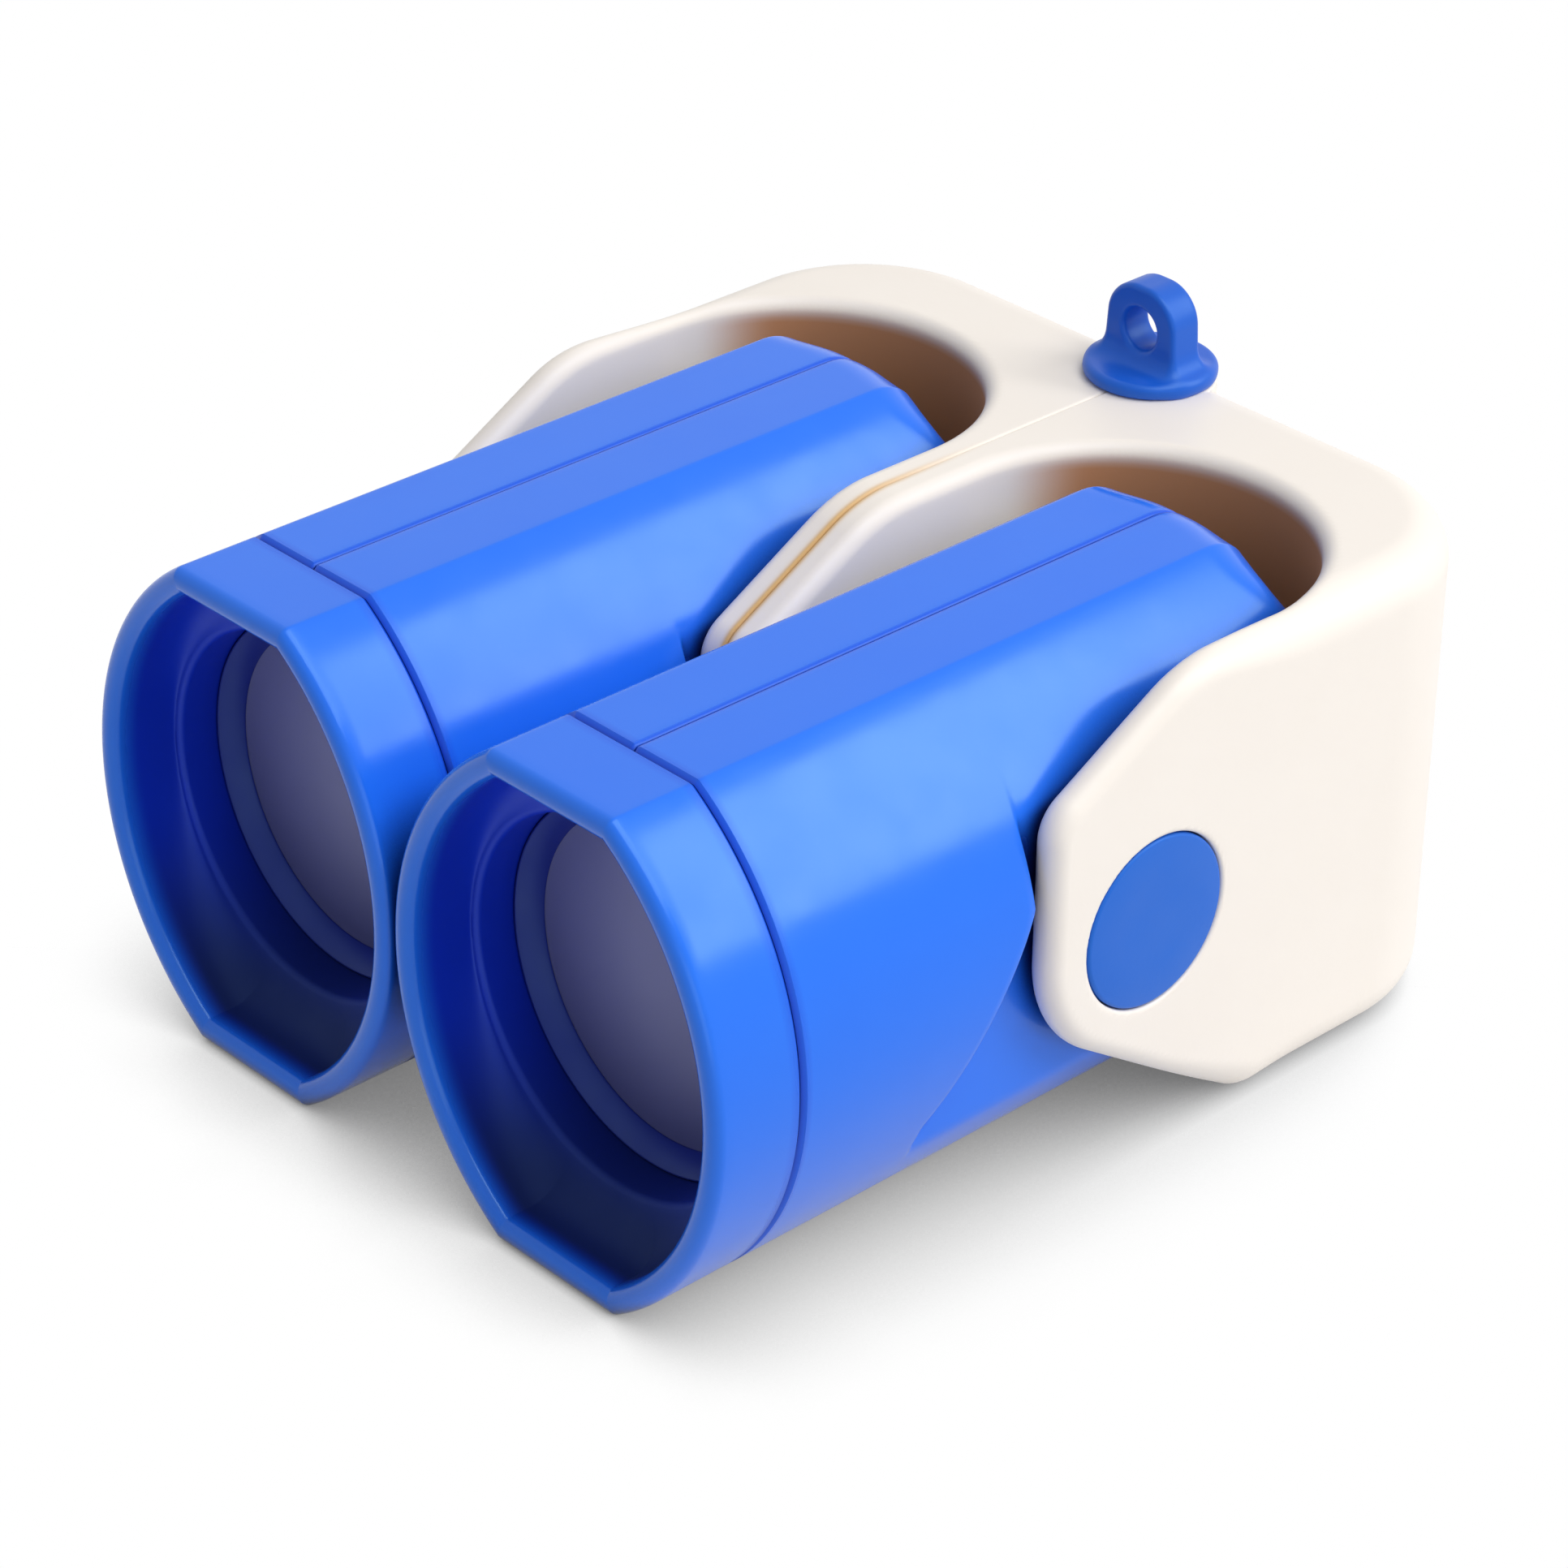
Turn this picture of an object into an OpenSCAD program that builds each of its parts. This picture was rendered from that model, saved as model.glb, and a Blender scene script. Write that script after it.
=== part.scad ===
// Toy binoculars with two folding barrels.
// Millimetres, +Z up, -Y towards the view, +X to the right of someone looking at the front.
// Each barrel turns about a pivot that runs across the body, so its front end folds down by 90 degrees.

/* [Barrels] */
// Distance between the two barrel axes
barrel_spacing = 56; // [54:1:66]
// Gap between the two barrels at their widest
barrel_gap = 0.8; // [0.6:0.1:3]
// Height of a barrel
barrel_h = 65; // [60:1:70]
// Width of the flat along the top and the bottom of a barrel
flat_w = 20; // [14:1:26]
// Wall of the two half shells
shell_wall = 2.4; // [1.8:0.1:3]
// From the pivot to the front rim
front_reach = 67.6; // [62:0.2:90]
// From the pivot to the rear end of a barrel
rear_reach = 33.4; // [26:0.2:36]

/* [Front caps] */
// Length of the cap that shows in front of the shells
cap_l = 12.2; // [10:0.2:18]
// Width of the groove between the cap and the shells
cap_groove = 0.5; // [0.2:0.1:1]
// Thickness of the front rim
rim_wall = 3.2; // [2.4:0.1:4]
// Depth of the hood in front of the round mouth
hood_depth = 9; // [6:0.2:10]
// Clearance of the cap's spigot inside the shells
spigot_gap = 0.1; // [0.05:0.05:0.2]

/* [Objectives] */
// Material beside the bore of the objective lens, where the barrel is widest
lens_bore_wall = 4.4; // [4:0.1:7]
// Distance from the front rim to the edge of the lens
lens_depth = 17; // [16:0.2:20]
// Thickness of the lens at its edge
lens_edge = 2.5; // [1.5:0.1:4]
// Rise of the lens in front of its edge
lens_front_rise = 1.8; // [0.8:0.1:2.4]
// Rise of the lens behind its edge
lens_rear_rise = 1.2; // [0.8:0.1:3]
// Width of the ring that holds the lens
lens_ring_w = 2.7; // [2:0.1:4]
// Length of the ring that holds the lens
lens_ring_l = 2.5; // [2:0.1:3]
// Length of the lip that the lens rests on
lens_lip_l = 2; // [1:0.1:3]
// Clearance round the lens and its ring
lens_gap = 0.1; // [0.05:0.05:0.2]

/* [Rear baffles] */
// Thickness of the plate that closes a barrel behind
baffle_t = 2; // [1.2:0.1:3]
// Distance from the barrel's rear end to the plate
baffle_depth = 4.5; // [3:0.1:8]
// Diameter of the hole in the plate
baffle_hole_d = 26; // [12:1:30]

/* [Body] */
// Height of the body
body_h = 64; // [60:1:70]
// Thickness of the wall between the two pockets that the barrels fold in
centre_wall = 8.8; // [8:0.2:12]
// From the pivot to the rear wall of the pocket
pocket_rear = 45.1; // [44.6:0.1:50]
// Thickness of the outer cheeks
cheek_wall = 4.4; // [3.6:0.1:6]
// From the rear wall of the pocket to the rear face of the body
rear_depth = 16.3; // [15.5:0.1:24]
// Radius of the rear corners seen from above
corner_r = 21; // [12:1:24]
// Radius of the edges round the top and the bottom
edge_r = 5; // [2:0.5:7]
// Wall of the hollow rear part
body_wall = 3; // [2:0.1:4]

/* [Cheeks] */
// From the pivot to the front edge of a cheek
cheek_front = 17; // [15:0.5:19]
// How far the upper sloping edge falls from the top to the front edge of a cheek
slope_fall = 12.34; // [9:0.02:16]
// Slope of the upper edge in degrees
slope_angle = 29; // [22:1:36]
// Radius between the front edge and the upper slope
slope_corner_r = 6; // [3:0.5:10]
// Radius between the upper slope and the top
slope_blend_r = 20; // [12:1:30]
// Slope of the lower edge in degrees
undercut_angle = 33.6; // [26:0.2:40]

/* [Pivots] */
// Diameter of the pin head that fills the hole in the cheek
pin_head_d = 22; // [16:1:24]
// Diameter of the spigot that is pressed into the barrel
pin_spigot_d = 12; // [8:0.5:14]
// Diameter of the stub pin at the centre wall
stub_pin_d = 8; // [6:0.5:12]
// How far the pins reach into the barrel
pin_reach = 8; // [6:0.5:10]
// Wall of the bosses round the pins
boss_wall = 2.6; // [2:0.1:4]
// Running clearance of the pins in the body
pin_gap = 0.05; // [0.03:0.01:0.1]
// Clearance of the pins inside the barrel's bosses
press_gap = 0.02; // [0.01:0.01:0.04]
// Material left between the stub pin's hole and the parting plane
stub_floor = 0.8; // [0.4:0.1:1.5]
// Gap between a barrel's side and its pocket
side_gap = 0.9; // [0.7:0.1:1.4]
// Thickness of the friction washers in that gap
washer_t = 0.6; // [0.4:0.05:0.6]
// Width of the friction washers
washer_w = 3.5; // [2:0.5:5]
// Clearance between the folding barrel and the edges of the body
fold_gap = 2.6; // [1.5:0.1:4]
// Clearance between the folding barrel and the pocket's rear wall
swing_gap = 0.9; // [0.5:0.1:1.2]

/* [Eyepieces] */
// Outside diameter of the eyepiece tube
cup_tube_d = 22; // [18:0.5:24]
// Wall of the eyepiece tube
cup_wall = 1.6; // [1.2:0.1:2.2]
// Diameter of the eyepiece flange
cup_flange_d = 26; // [25:0.5:27]
// How far the eyepiece stands out behind the body
cup_proud = 3; // [2:0.1:4]
// Length of the eyepiece tube inside the body
cup_tube_l = 14; // [11:0.5:15]
// Distance from the rear face of the eyepiece to the lens edge
eye_lens_depth = 8; // [6:0.5:9]
// Thickness of the eye lens at its edge
eye_lens_edge = 1.6; // [1.2:0.1:2.5]
// Rise of the eye lens on each side
eye_lens_rise = 1; // [0.5:0.1:1.5]
// Width of the lip and the ring that hold the eye lens
eye_ring_w = 1.4; // [1:0.1:2]
// Length of the ring that holds the eye lens
eye_ring_l = 1.5; // [1.1:0.1:2.5]
// Clearance of the tube in the body and of the lens in the tube
cup_gap = 0.1; // [0.05:0.05:0.2]

/* [Lanyard eyelet] */
// From the rear face of the body to the middle of the eyelet
eyelet_inset = 5.5; // [5.5:0.1:10]
// Diameter of the flange
eyelet_flange_d = 17; // [14:0.5:20]
// Thickness of the flange
eyelet_flange_t = 2; // [1.5:0.1:3]
// Width of the loop
eyelet_w = 11.6; // [10:0.2:14]
// Thickness of the loop
eyelet_t = 5; // [4:0.1:6]
// Height of the eyelet above the body
eyelet_h = 12.5; // [12:0.5:18]
// Diameter of the hole for a cord
eyelet_hole_d = 5.5; // [4:0.1:6.5]
// Diameter of the post that turns in the body
eyelet_post_d = 7; // [6:0.2:8]
// Thickness of the body wall that the post passes through
eyelet_seat_t = 5; // [4:0.2:8]
// Diameter of the retaining clip
clip_d = 10; // [9.4:0.2:10.4]
// Thickness of the retaining clip
clip_t = 1.2; // [0.8:0.1:1.6]
// Depth of the clip's groove in the post
clip_groove = 0.9; // [0.5:0.1:1.2]
// Wall round the chamber of the clip
pillar_wall = 2; // [1.5:0.1:3]
// Clearance of the turning eyelet in the body
eyelet_gap = 0.3; // [0.2:0.05:0.4]

/* [Screws] */
// Diameter of the screw shank
screw_d = 2.4; // [2:0.1:3]
// Diameter of the screw head
screw_head_d = 5; // [4:0.1:5.6]
// Thickness of the screw head
screw_head_t = 1.6; // [1.2:0.1:2]
// Clearance round the screws
screw_gap = 0.1; // [0.05:0.05:0.2]
// Material left past the end of a screw
screw_floor = 1; // [0.6:0.1:1.5]
// From the front edge of the centre wall to the front screw
screw_front_inset = 7; // [5:0.5:9]
// From the round rear wall of the pockets to the rear screws
screw_rear_inset = 4; // [3:0.5:8]
// From the top and the bottom of the body to the rear screws
screw_edge_inset = 10; // [7:0.5:14]

/* [Hidden] */
$fn = 96;
FACET_FN = 48;
CUT = 1;
FAR = 150;

CREAM = "#f4eee6";
BLUE = "#2f6cf0";
DEEP_BLUE = "#1c3fb4";
LENS_TINT = "#55557f";
CLEAR_TINT = "#b9c3d6";
STEEL = "#b4b6b8";
WASHER_WHITE = "#e6e6e2";

LEFT = -1;
RIGHT = 1;

// Barrel section: two arcs that meet the flats at the corners.
pivot_z = barrel_h / 2;
half_spacing = barrel_spacing / 2;
barrel_w = barrel_spacing - barrel_gap;
half_w = barrel_w / 2;
half_flat = flat_w / 2;
arc_shift = (half_flat * half_flat + pivot_z * pivot_z - half_w * half_w) / (2 * (half_w - half_flat));
arc_r = half_w + arc_shift;

// The waist is the narrowed part of a barrel that folds inside its pocket.
pocket_w = barrel_spacing - centre_wall;
pocket_r = pocket_w / 2;
pocket_centre = pocket_rear - pocket_r;
waist = pocket_r - side_gap;
inner_waist = waist - shell_wall;
shell_front = cap_l + cap_groove - front_reach;
spigot_end = lens_depth + lens_edge + lens_lip_l - front_reach;
lens_y = lens_depth - front_reach;
lens_bore_r = half_w - lens_bore_wall;
lens_opening_r = lens_bore_r - lens_ring_w;
baffle_y = rear_reach - baffle_depth - baffle_t;
boss_end = waist - pin_reach - boss_wall;

// Body, measured from the parting plane at x = 0 and from the pivot along y.
body_half_w = half_spacing + pocket_r + cheek_wall;
body_rear = pocket_rear + rear_depth;
body_top = body_h - pivot_z;
slope_reach = cos(slope_angle) * (body_top - slope_fall) + sin(slope_angle) * cheek_front;
centre_half = centre_wall / 2;
cavity_front = pocket_centre + pocket_r / 2;
eyelet_y = body_rear - eyelet_inset;
eyelet_seat_z = body_h - eyelet_seat_t;
clip_z = eyelet_seat_z - eyelet_gap - clip_t;
post_end_z = clip_z - clip_t;
eyelet_pillar_r = clip_d / 2 + eyelet_gap + pillar_wall;
eyelet_flange_r = eyelet_flange_d / 2;
cup_front = body_rear - cup_tube_l;
eye_lens_y = body_rear + cup_proud - eye_lens_depth;
eye_bore_r = cup_tube_d / 2 - cup_wall;
eye_lip_r = eye_bore_r - eye_ring_w;

// Screws in the centre wall: distance behind the pivot and height, each as [y, z].
screw_places = [
    [screw_front_inset - cheek_front, pivot_z + slope_reach / 2],
    [pocket_centre - screw_rear_inset, body_h - screw_edge_inset],
    [pocket_centre - screw_rear_inset, screw_edge_inset]
];
screw_end = centre_half - screw_floor;
screw_seat = centre_half - screw_head_t - screw_gap;

// The origin lies under the middle of the whole object.
mid_y = (body_rear + cup_proud - front_reach) / 2;

// Points on an arc round a centre, from one angle to another.
function arc(centre, radius, from, to, steps = 12) = [
    for (i = [0 : steps])
        let (angle = from + (to - from) * i / steps)
        centre + radius * [cos(angle), sin(angle)]
];

// Radius of a sphere that rises by a given amount over a disc.
function cap_radius(disc_r, rise) = (disc_r * disc_r + rise * rise) / (2 * rise);

// Placing and extruding
module on_side(side) {
    if (side == LEFT) mirror([1, 0, 0]) children();
    else children();
}

module in_body() {
    translate([0, -mid_y, 0]) children();
}

module in_barrel(side) {
    in_body() on_side(side) translate([half_spacing, 0, pivot_z]) children();
}

module along_y(from, to) {
    translate([0, to, 0]) rotate([90, 0, 0]) linear_extrude(to - from) children();
}

module along_x(from, to) {
    translate([from, 0, 0]) rotate([90, 0, 90]) linear_extrude(to - from) children();
}

module tube_y(from, to, outer_r, inner_r) {
    along_y(from, to) difference() {
        circle(r = outer_r);
        circle(r = inner_r);
    }
}

module tube_x(from, to, outer_r, inner_r) {
    along_x(from, to) difference() {
        circle(r = outer_r);
        circle(r = inner_r);
    }
}

// Barrel section: two side arcs cut off by the flats at top and bottom.
module section(inset = 0) {
    intersection() {
        translate([-arc_shift, 0]) circle(r = arc_r - inset);
        translate([arc_shift, 0]) circle(r = arc_r - inset);
        square([barrel_w, barrel_h - 2 * inset], center = true);
    }
}

// Side outline of a cheek and of the centre wall, seen along x, with the pivot at the origin.
module cheek_outline() {
    corner_y = slope_corner_r - cheek_front;
    corner_z = (slope_reach - slope_corner_r + sin(slope_angle) * corner_y) / cos(slope_angle);
    blend_z = body_top - slope_blend_r;
    blend_y = (cos(slope_angle) * blend_z - slope_reach + slope_blend_r) / sin(slope_angle);
    foot = cheek_front * [-sin(undercut_angle), -cos(undercut_angle)];
    run = FAR / 2 * [cos(undercut_angle), -sin(undercut_angle)];
    polygon(concat(
        [foot + run],
        arc([0, 0], cheek_front, 270 - undercut_angle, 180),
        arc([corner_y, corner_z], slope_corner_r, 180, 90 + slope_angle),
        arc([blend_y, blend_z], slope_blend_r, 90 + slope_angle, 90),
        [[blend_y, body_top + FAR], [FAR, body_top + FAR], [FAR, foot[1] + run[1]]]
    ));
}

// Where the barrel's flank has to stay inside the pocket: the reach of the cheek's front edge at rest,
// of its lower edge when the barrel is folded, and of the body's underside when it is folded.
module waist_outline(grow = 0) {
    reach = cheek_front + fold_gap + grow;
    under = pivot_z + fold_gap + grow;
    knee_z = reach * (1 - cos(undercut_angle)) / sin(undercut_angle);
    low_z = (reach - under * cos(undercut_angle)) / sin(undercut_angle);
    polygon([
        [-reach, FAR], [-reach, knee_z], [-under, low_z], [-under, -FAR], [FAR, -FAR], [FAR, FAR]
    ]);
}

// Outline of the half-round rear end of the pocket, one clearance smaller, starting at the pivot.
module swing_plan(inset) {
    room_r = pocket_r - swing_gap - inset;
    intersection() {
        union() {
            translate([pocket_centre, 0]) circle(r = room_r);
            translate([0, -room_r]) square([pocket_centre, 2 * room_r]);
        }
        translate([0, -FAR]) square([FAR, 2 * FAR]);
    }
}

// Everything behind the pivot that can fold without touching the round rear wall of the pocket:
// below the pivot it has to turn past that wall, and above the pivot it only moves away from it.
module swing_room(inset = 0) {
    rotate([0, 90, 0]) rotate_extrude() swing_plan(inset);
    rotate([0, 0, 90]) linear_extrude(FAR) swing_plan(inset);
}

module behind_pivot() {
    translate([-FAR, 0, -FAR]) cube([2 * FAR, FAR, 2 * FAR]);
}

module barrel_outside() {
    difference() {
        along_y(shell_front, rear_reach) section();
        for (flip = [0, 1])
            mirror([flip, 0, 0]) along_x(waist, FAR) waist_outline();
        difference() {
            behind_pivot();
            swing_room();
        }
    }
}

module barrel_inside() {
    difference() {
        along_y(shell_front - CUT, rear_reach + CUT) section(shell_wall);
        for (flip = [0, 1])
            mirror([flip, 0, 0]) along_x(inner_waist, FAR) waist_outline(shell_wall);
        difference() {
            behind_pivot();
            swing_room(shell_wall);
        }
    }
}

// One half of a barrel, on the +x side of its parting plane, with a boss for its pivot pin.
module barrel_half(pin_d) {
    difference() {
        union() {
            intersection() {
                difference() {
                    barrel_outside();
                    barrel_inside();
                }
                translate([0, -FAR, -FAR]) cube([FAR, 2 * FAR, 2 * FAR]);
            }
            along_x(boss_end, inner_waist + CUT) circle(d = pin_d + 2 * boss_wall);
        }
        along_x(waist - pin_reach, FAR) circle(d = pin_d + 2 * press_gap);
    }
}

// Lens with a flat-faced edge and a dome on each side inside it; its edge starts at y = 0.
module lens(lens_r, dome_r, edge, front_rise, rear_rise) {
    front_ball = cap_radius(dome_r, front_rise);
    rear_ball = cap_radius(dome_r, rear_rise);
    front_angle = asin(dome_r / front_ball);
    rear_angle = asin(dome_r / rear_ball);
    rotate([-90, 0, 0]) rotate_extrude() polygon(concat(
        arc([0, front_ball - front_rise], front_ball, -90, front_angle - 90),
        [[lens_r, 0], [lens_r, edge]],
        arc([0, edge + rear_rise - rear_ball], rear_ball, 90 - rear_angle, 90)
    ));
}

// Barrel pieces
module barrel_outer_shell(side) {
    color(BLUE) in_barrel(side) barrel_half(pin_spigot_d);
}

module barrel_inner_shell(side) {
    color(BLUE) in_barrel(side) mirror([1, 0, 0]) barrel_half(stub_pin_d);
}

module front_cap(side) {
    color(BLUE) in_barrel(side) difference() {
        union() {
            along_y(-front_reach, cap_l - front_reach) section();
            along_y(cap_l - front_reach - CUT, spigot_end) section(shell_wall + spigot_gap);
        }
        along_y(-front_reach - CUT, hood_depth - front_reach) section(rim_wall);
        along_y(-front_reach, spigot_end - lens_lip_l) circle(r = lens_bore_r);
        along_y(-front_reach, spigot_end + CUT) circle(r = lens_opening_r);
    }
}

module objective_lens(side) {
    color(LENS_TINT) in_barrel(side) translate([0, lens_y, 0]) lens(
        lens_bore_r - lens_gap, lens_opening_r - lens_gap, lens_edge, lens_front_rise, lens_rear_rise
    );
}

module lens_ring(side) {
    color(DEEP_BLUE) in_barrel(side)
        tube_y(lens_y - lens_ring_l, lens_y, lens_bore_r - lens_gap, lens_opening_r);
}

module rear_baffle(side) {
    color(DEEP_BLUE) in_barrel(side) intersection() {
        along_y(baffle_y, baffle_y + baffle_t) difference() {
            intersection() {
                section(shell_wall + spigot_gap);
                square([2 * (inner_waist - spigot_gap), barrel_h], center = true);
            }
            circle(d = baffle_hole_d);
        }
        swing_room(shell_wall + spigot_gap);
    }
}

module outer_pivot_pin(side) {
    color(BLUE) in_barrel(side) union() {
        along_x(pocket_r, pocket_r + cheek_wall) circle(d = pin_head_d);
        along_x(waist - pin_reach, pocket_r + CUT) circle(d = pin_spigot_d);
    }
}

module inner_pivot_pin(side) {
    color(BLUE) in_barrel(side) mirror([1, 0, 0])
        along_x(waist - pin_reach, half_spacing - stub_floor - 2 * pin_gap) circle(d = stub_pin_d);
}

module outer_washer(side) {
    color(WASHER_WHITE) in_barrel(side)
        tube_x(waist, waist + washer_t, pin_spigot_d / 2 + pin_gap + washer_w, pin_spigot_d / 2 + pin_gap);
}

module inner_washer(side) {
    color(WASHER_WHITE) in_barrel(side) mirror([1, 0, 0])
        tube_x(waist, waist + washer_t, stub_pin_d / 2 + pin_gap + washer_w, stub_pin_d / 2 + pin_gap);
}

// Body pieces
module edge_rounded_puck(radius) {
    rotate_extrude($fn = FACET_FN) polygon(concat(
        [[0, 0]],
        arc([radius - edge_r, edge_r], edge_r, -90, 0, 6),
        arc([radius - edge_r, body_h - edge_r], edge_r, 0, 90, 6),
        [[0, body_h]]
    ));
}

// Block with rounded edges all round, long enough in front for the cheeks to be cut from it.
module body_block() {
    front_r = edge_r + CUT;
    hull() for (flip = [0, 1]) mirror([flip, 0, 0]) {
        translate([body_half_w - corner_r, body_rear - corner_r, 0]) edge_rounded_puck(corner_r);
        translate([body_half_w - front_r, front_r - 2 * cheek_front, 0]) edge_rounded_puck(front_r);
    }
}

module pocket_plan(grow = 0) {
    translate([half_spacing, pocket_centre]) circle(r = pocket_r + grow);
    translate([centre_half - grow, -FAR]) square([pocket_w + 2 * grow, FAR + pocket_centre]);
}

// Plan of the hollow behind the pocket, up to the parting plane.
module cavity_plan() {
    inner_r = corner_r - body_wall;
    difference() {
        union() {
            translate([-CUT, cavity_front])
                square([body_half_w - corner_r + CUT, body_rear - body_wall - cavity_front]);
            translate([0, cavity_front])
                square([body_half_w - body_wall, body_rear - corner_r - cavity_front]);
            translate([body_half_w - corner_r, body_rear - corner_r]) circle(r = inner_r);
        }
        pocket_plan(body_wall);
    }
}

module body_cavity() {
    difference() {
        translate([0, 0, body_wall]) linear_extrude(body_h - 2 * body_wall) cavity_plan();
        translate([half_spacing, 0, pivot_z])
            along_y(0, FAR) circle(r = cup_tube_d / 2 + cup_gap + body_wall);
        translate([0, eyelet_y, post_end_z - body_wall])
            cylinder(r = eyelet_pillar_r, h = FAR);
    }
}

// Hole for the eyelet's post, with a wider chamber below for its clip.
module eyelet_hole() {
    translate([0, eyelet_y, 0]) {
        translate([0, 0, eyelet_seat_z - CUT])
            cylinder(d = eyelet_post_d + 2 * eyelet_gap, h = eyelet_seat_t + 2 * CUT);
        translate([0, 0, post_end_z - eyelet_gap])
            cylinder(d = clip_d + 2 * eyelet_gap, h = eyelet_seat_z - post_end_z + eyelet_gap);
    }
}

module screw_holes(side) {
    for (place = screw_places) translate([0, place[0], place[1]]) {
        hole_end = side == LEFT ? centre_half + CUT : screw_end + screw_gap;
        along_x(-CUT, hole_end) circle(d = screw_d + 2 * screw_gap);
        if (side == LEFT) along_x(screw_seat, hole_end) circle(d = screw_head_d + 2 * screw_gap);
    }
}

// Corbel on the rear face that carries the eyelet's flange where it reaches past the body.
module eyelet_corbel() {
    corbel_z = post_end_z - body_wall;
    corbel_low = corbel_z - 2 * (eyelet_flange_r - eyelet_inset);
    translate([0, eyelet_y, 0]) rotate_extrude() polygon([
        [0, corbel_low], [eyelet_inset, corbel_low], [eyelet_flange_r, corbel_z],
        [eyelet_flange_r, body_h], [0, body_h]
    ]);
}

// Half of the body on the +x side; the left half also takes the screw heads.
module body_half(side) {
    difference() {
        intersection() {
            union() {
                body_block();
                translate([half_spacing, 0, pivot_z])
                    along_y(body_rear - corner_r / 2, body_rear) circle(d = cup_flange_d);
                eyelet_corbel();
            }
            translate([0, 0, pivot_z]) along_x(0, FAR) cheek_outline();
        }
        translate([0, 0, -CUT]) linear_extrude(body_h + 2 * CUT) pocket_plan();
        body_cavity();
        eyelet_hole();
        translate([half_spacing, 0, pivot_z]) {
            along_x(0, FAR) circle(d = pin_head_d + 2 * pin_gap);
            along_x(stub_floor - half_spacing, 0) circle(d = stub_pin_d + 2 * pin_gap);
            along_y(0, FAR) circle(d = cup_tube_d + 2 * cup_gap);
        }
        screw_holes(side);
    }
}

module body_shell(side) {
    color(CREAM) in_body() on_side(side) body_half(side);
}

module shell_screws() {
    color(STEEL) in_body() for (place = screw_places) translate([0, place[0], place[1]]) {
        along_x(-screw_seat, screw_end) circle(d = screw_d);
        along_x(-screw_seat - screw_head_t, -screw_seat) circle(d = screw_head_d);
    }
}

module eyepiece_cup(side) {
    color(BLUE) in_barrel(side) difference() {
        union() {
            along_y(cup_front, body_rear + CUT) circle(d = cup_tube_d);
            along_y(body_rear, body_rear + cup_proud) circle(d = cup_flange_d);
        }
        along_y(eye_lens_y - eye_lens_edge, FAR) circle(r = eye_bore_r);
        along_y(0, FAR) circle(r = eye_lip_r);
    }
}

module eyepiece_lens(side) {
    color(CLEAR_TINT) in_barrel(side) translate([0, eye_lens_y - eye_lens_edge, 0])
        lens(eye_bore_r - cup_gap, eye_lip_r - cup_gap, eye_lens_edge, eye_lens_rise, eye_lens_rise);
}

module eyepiece_ring(side) {
    color(DEEP_BLUE) in_barrel(side)
        tube_y(eye_lens_y, eye_lens_y + eye_ring_l, eye_bore_r - cup_gap, eye_lip_r);
}

// Arch-topped loop on a round flange, with a grooved post below.
module lanyard_eyelet() {
    arch_r = eyelet_w / 2;
    hole_z = body_h + eyelet_h - arch_r;
    flange_top = body_h + eyelet_flange_t;
    color(BLUE) in_body() translate([0, eyelet_y, 0]) difference() {
        union() {
            translate([0, 0, body_h]) cylinder(d = eyelet_flange_d, h = eyelet_flange_t);
            along_y(-eyelet_t / 2, eyelet_t / 2) union() {
                translate([0, hole_z]) circle(r = arch_r);
                translate([-arch_r, flange_top - CUT]) square([eyelet_w, hole_z - flange_top + CUT]);
            }
            translate([0, 0, post_end_z]) cylinder(d = eyelet_post_d, h = body_h - post_end_z + CUT);
        }
        translate([0, 0, hole_z]) along_y(-eyelet_t, eyelet_t) circle(d = eyelet_hole_d);
        translate([0, 0, clip_z]) difference() {
            cylinder(d = eyelet_post_d + CUT, h = clip_t);
            translate([0, 0, -CUT]) cylinder(d = eyelet_post_d - 2 * clip_groove, h = clip_t + 2 * CUT);
        }
    }
}

// C-shaped clip in the post's groove, open towards the rear.
module eyelet_clip() {
    neck_d = eyelet_post_d - 2 * clip_groove;
    color(STEEL) in_body() translate([0, eyelet_y, clip_z]) linear_extrude(clip_t) difference() {
        circle(d = clip_d);
        circle(d = neck_d);
        translate([-neck_d / 2, 0]) square([neck_d, clip_d]);
    }
}

body_shell(LEFT);  // left_body_shell
body_shell(RIGHT);  // right_body_shell
shell_screws();
eyepiece_cup(LEFT);  // left_eyepiece_cup
eyepiece_lens(LEFT);  // left_eyepiece_lens
eyepiece_ring(LEFT);  // left_eyepiece_ring
eyepiece_cup(RIGHT);  // right_eyepiece_cup
eyepiece_lens(RIGHT);  // right_eyepiece_lens
eyepiece_ring(RIGHT);  // right_eyepiece_ring
lanyard_eyelet();
eyelet_clip();
barrel_outer_shell(LEFT);  // left_barrel_outer_shell
barrel_inner_shell(LEFT);  // left_barrel_inner_shell
front_cap(LEFT);  // left_front_cap
objective_lens(LEFT);  // left_objective_lens
lens_ring(LEFT);  // left_lens_ring
rear_baffle(LEFT);  // left_rear_baffle
outer_pivot_pin(LEFT);  // left_outer_pivot_pin
inner_pivot_pin(LEFT);  // left_inner_pivot_pin
outer_washer(LEFT);  // left_outer_washer
inner_washer(LEFT);  // left_inner_washer
barrel_outer_shell(RIGHT);  // right_barrel_outer_shell
barrel_inner_shell(RIGHT);  // right_barrel_inner_shell
front_cap(RIGHT);  // right_front_cap
objective_lens(RIGHT);  // right_objective_lens
lens_ring(RIGHT);  // right_lens_ring
rear_baffle(RIGHT);  // right_rear_baffle
outer_pivot_pin(RIGHT);  // right_outer_pivot_pin
inner_pivot_pin(RIGHT);  // right_inner_pivot_pin
outer_washer(RIGHT);  // right_outer_washer
inner_washer(RIGHT);  // right_inner_washer
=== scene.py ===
import math

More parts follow.
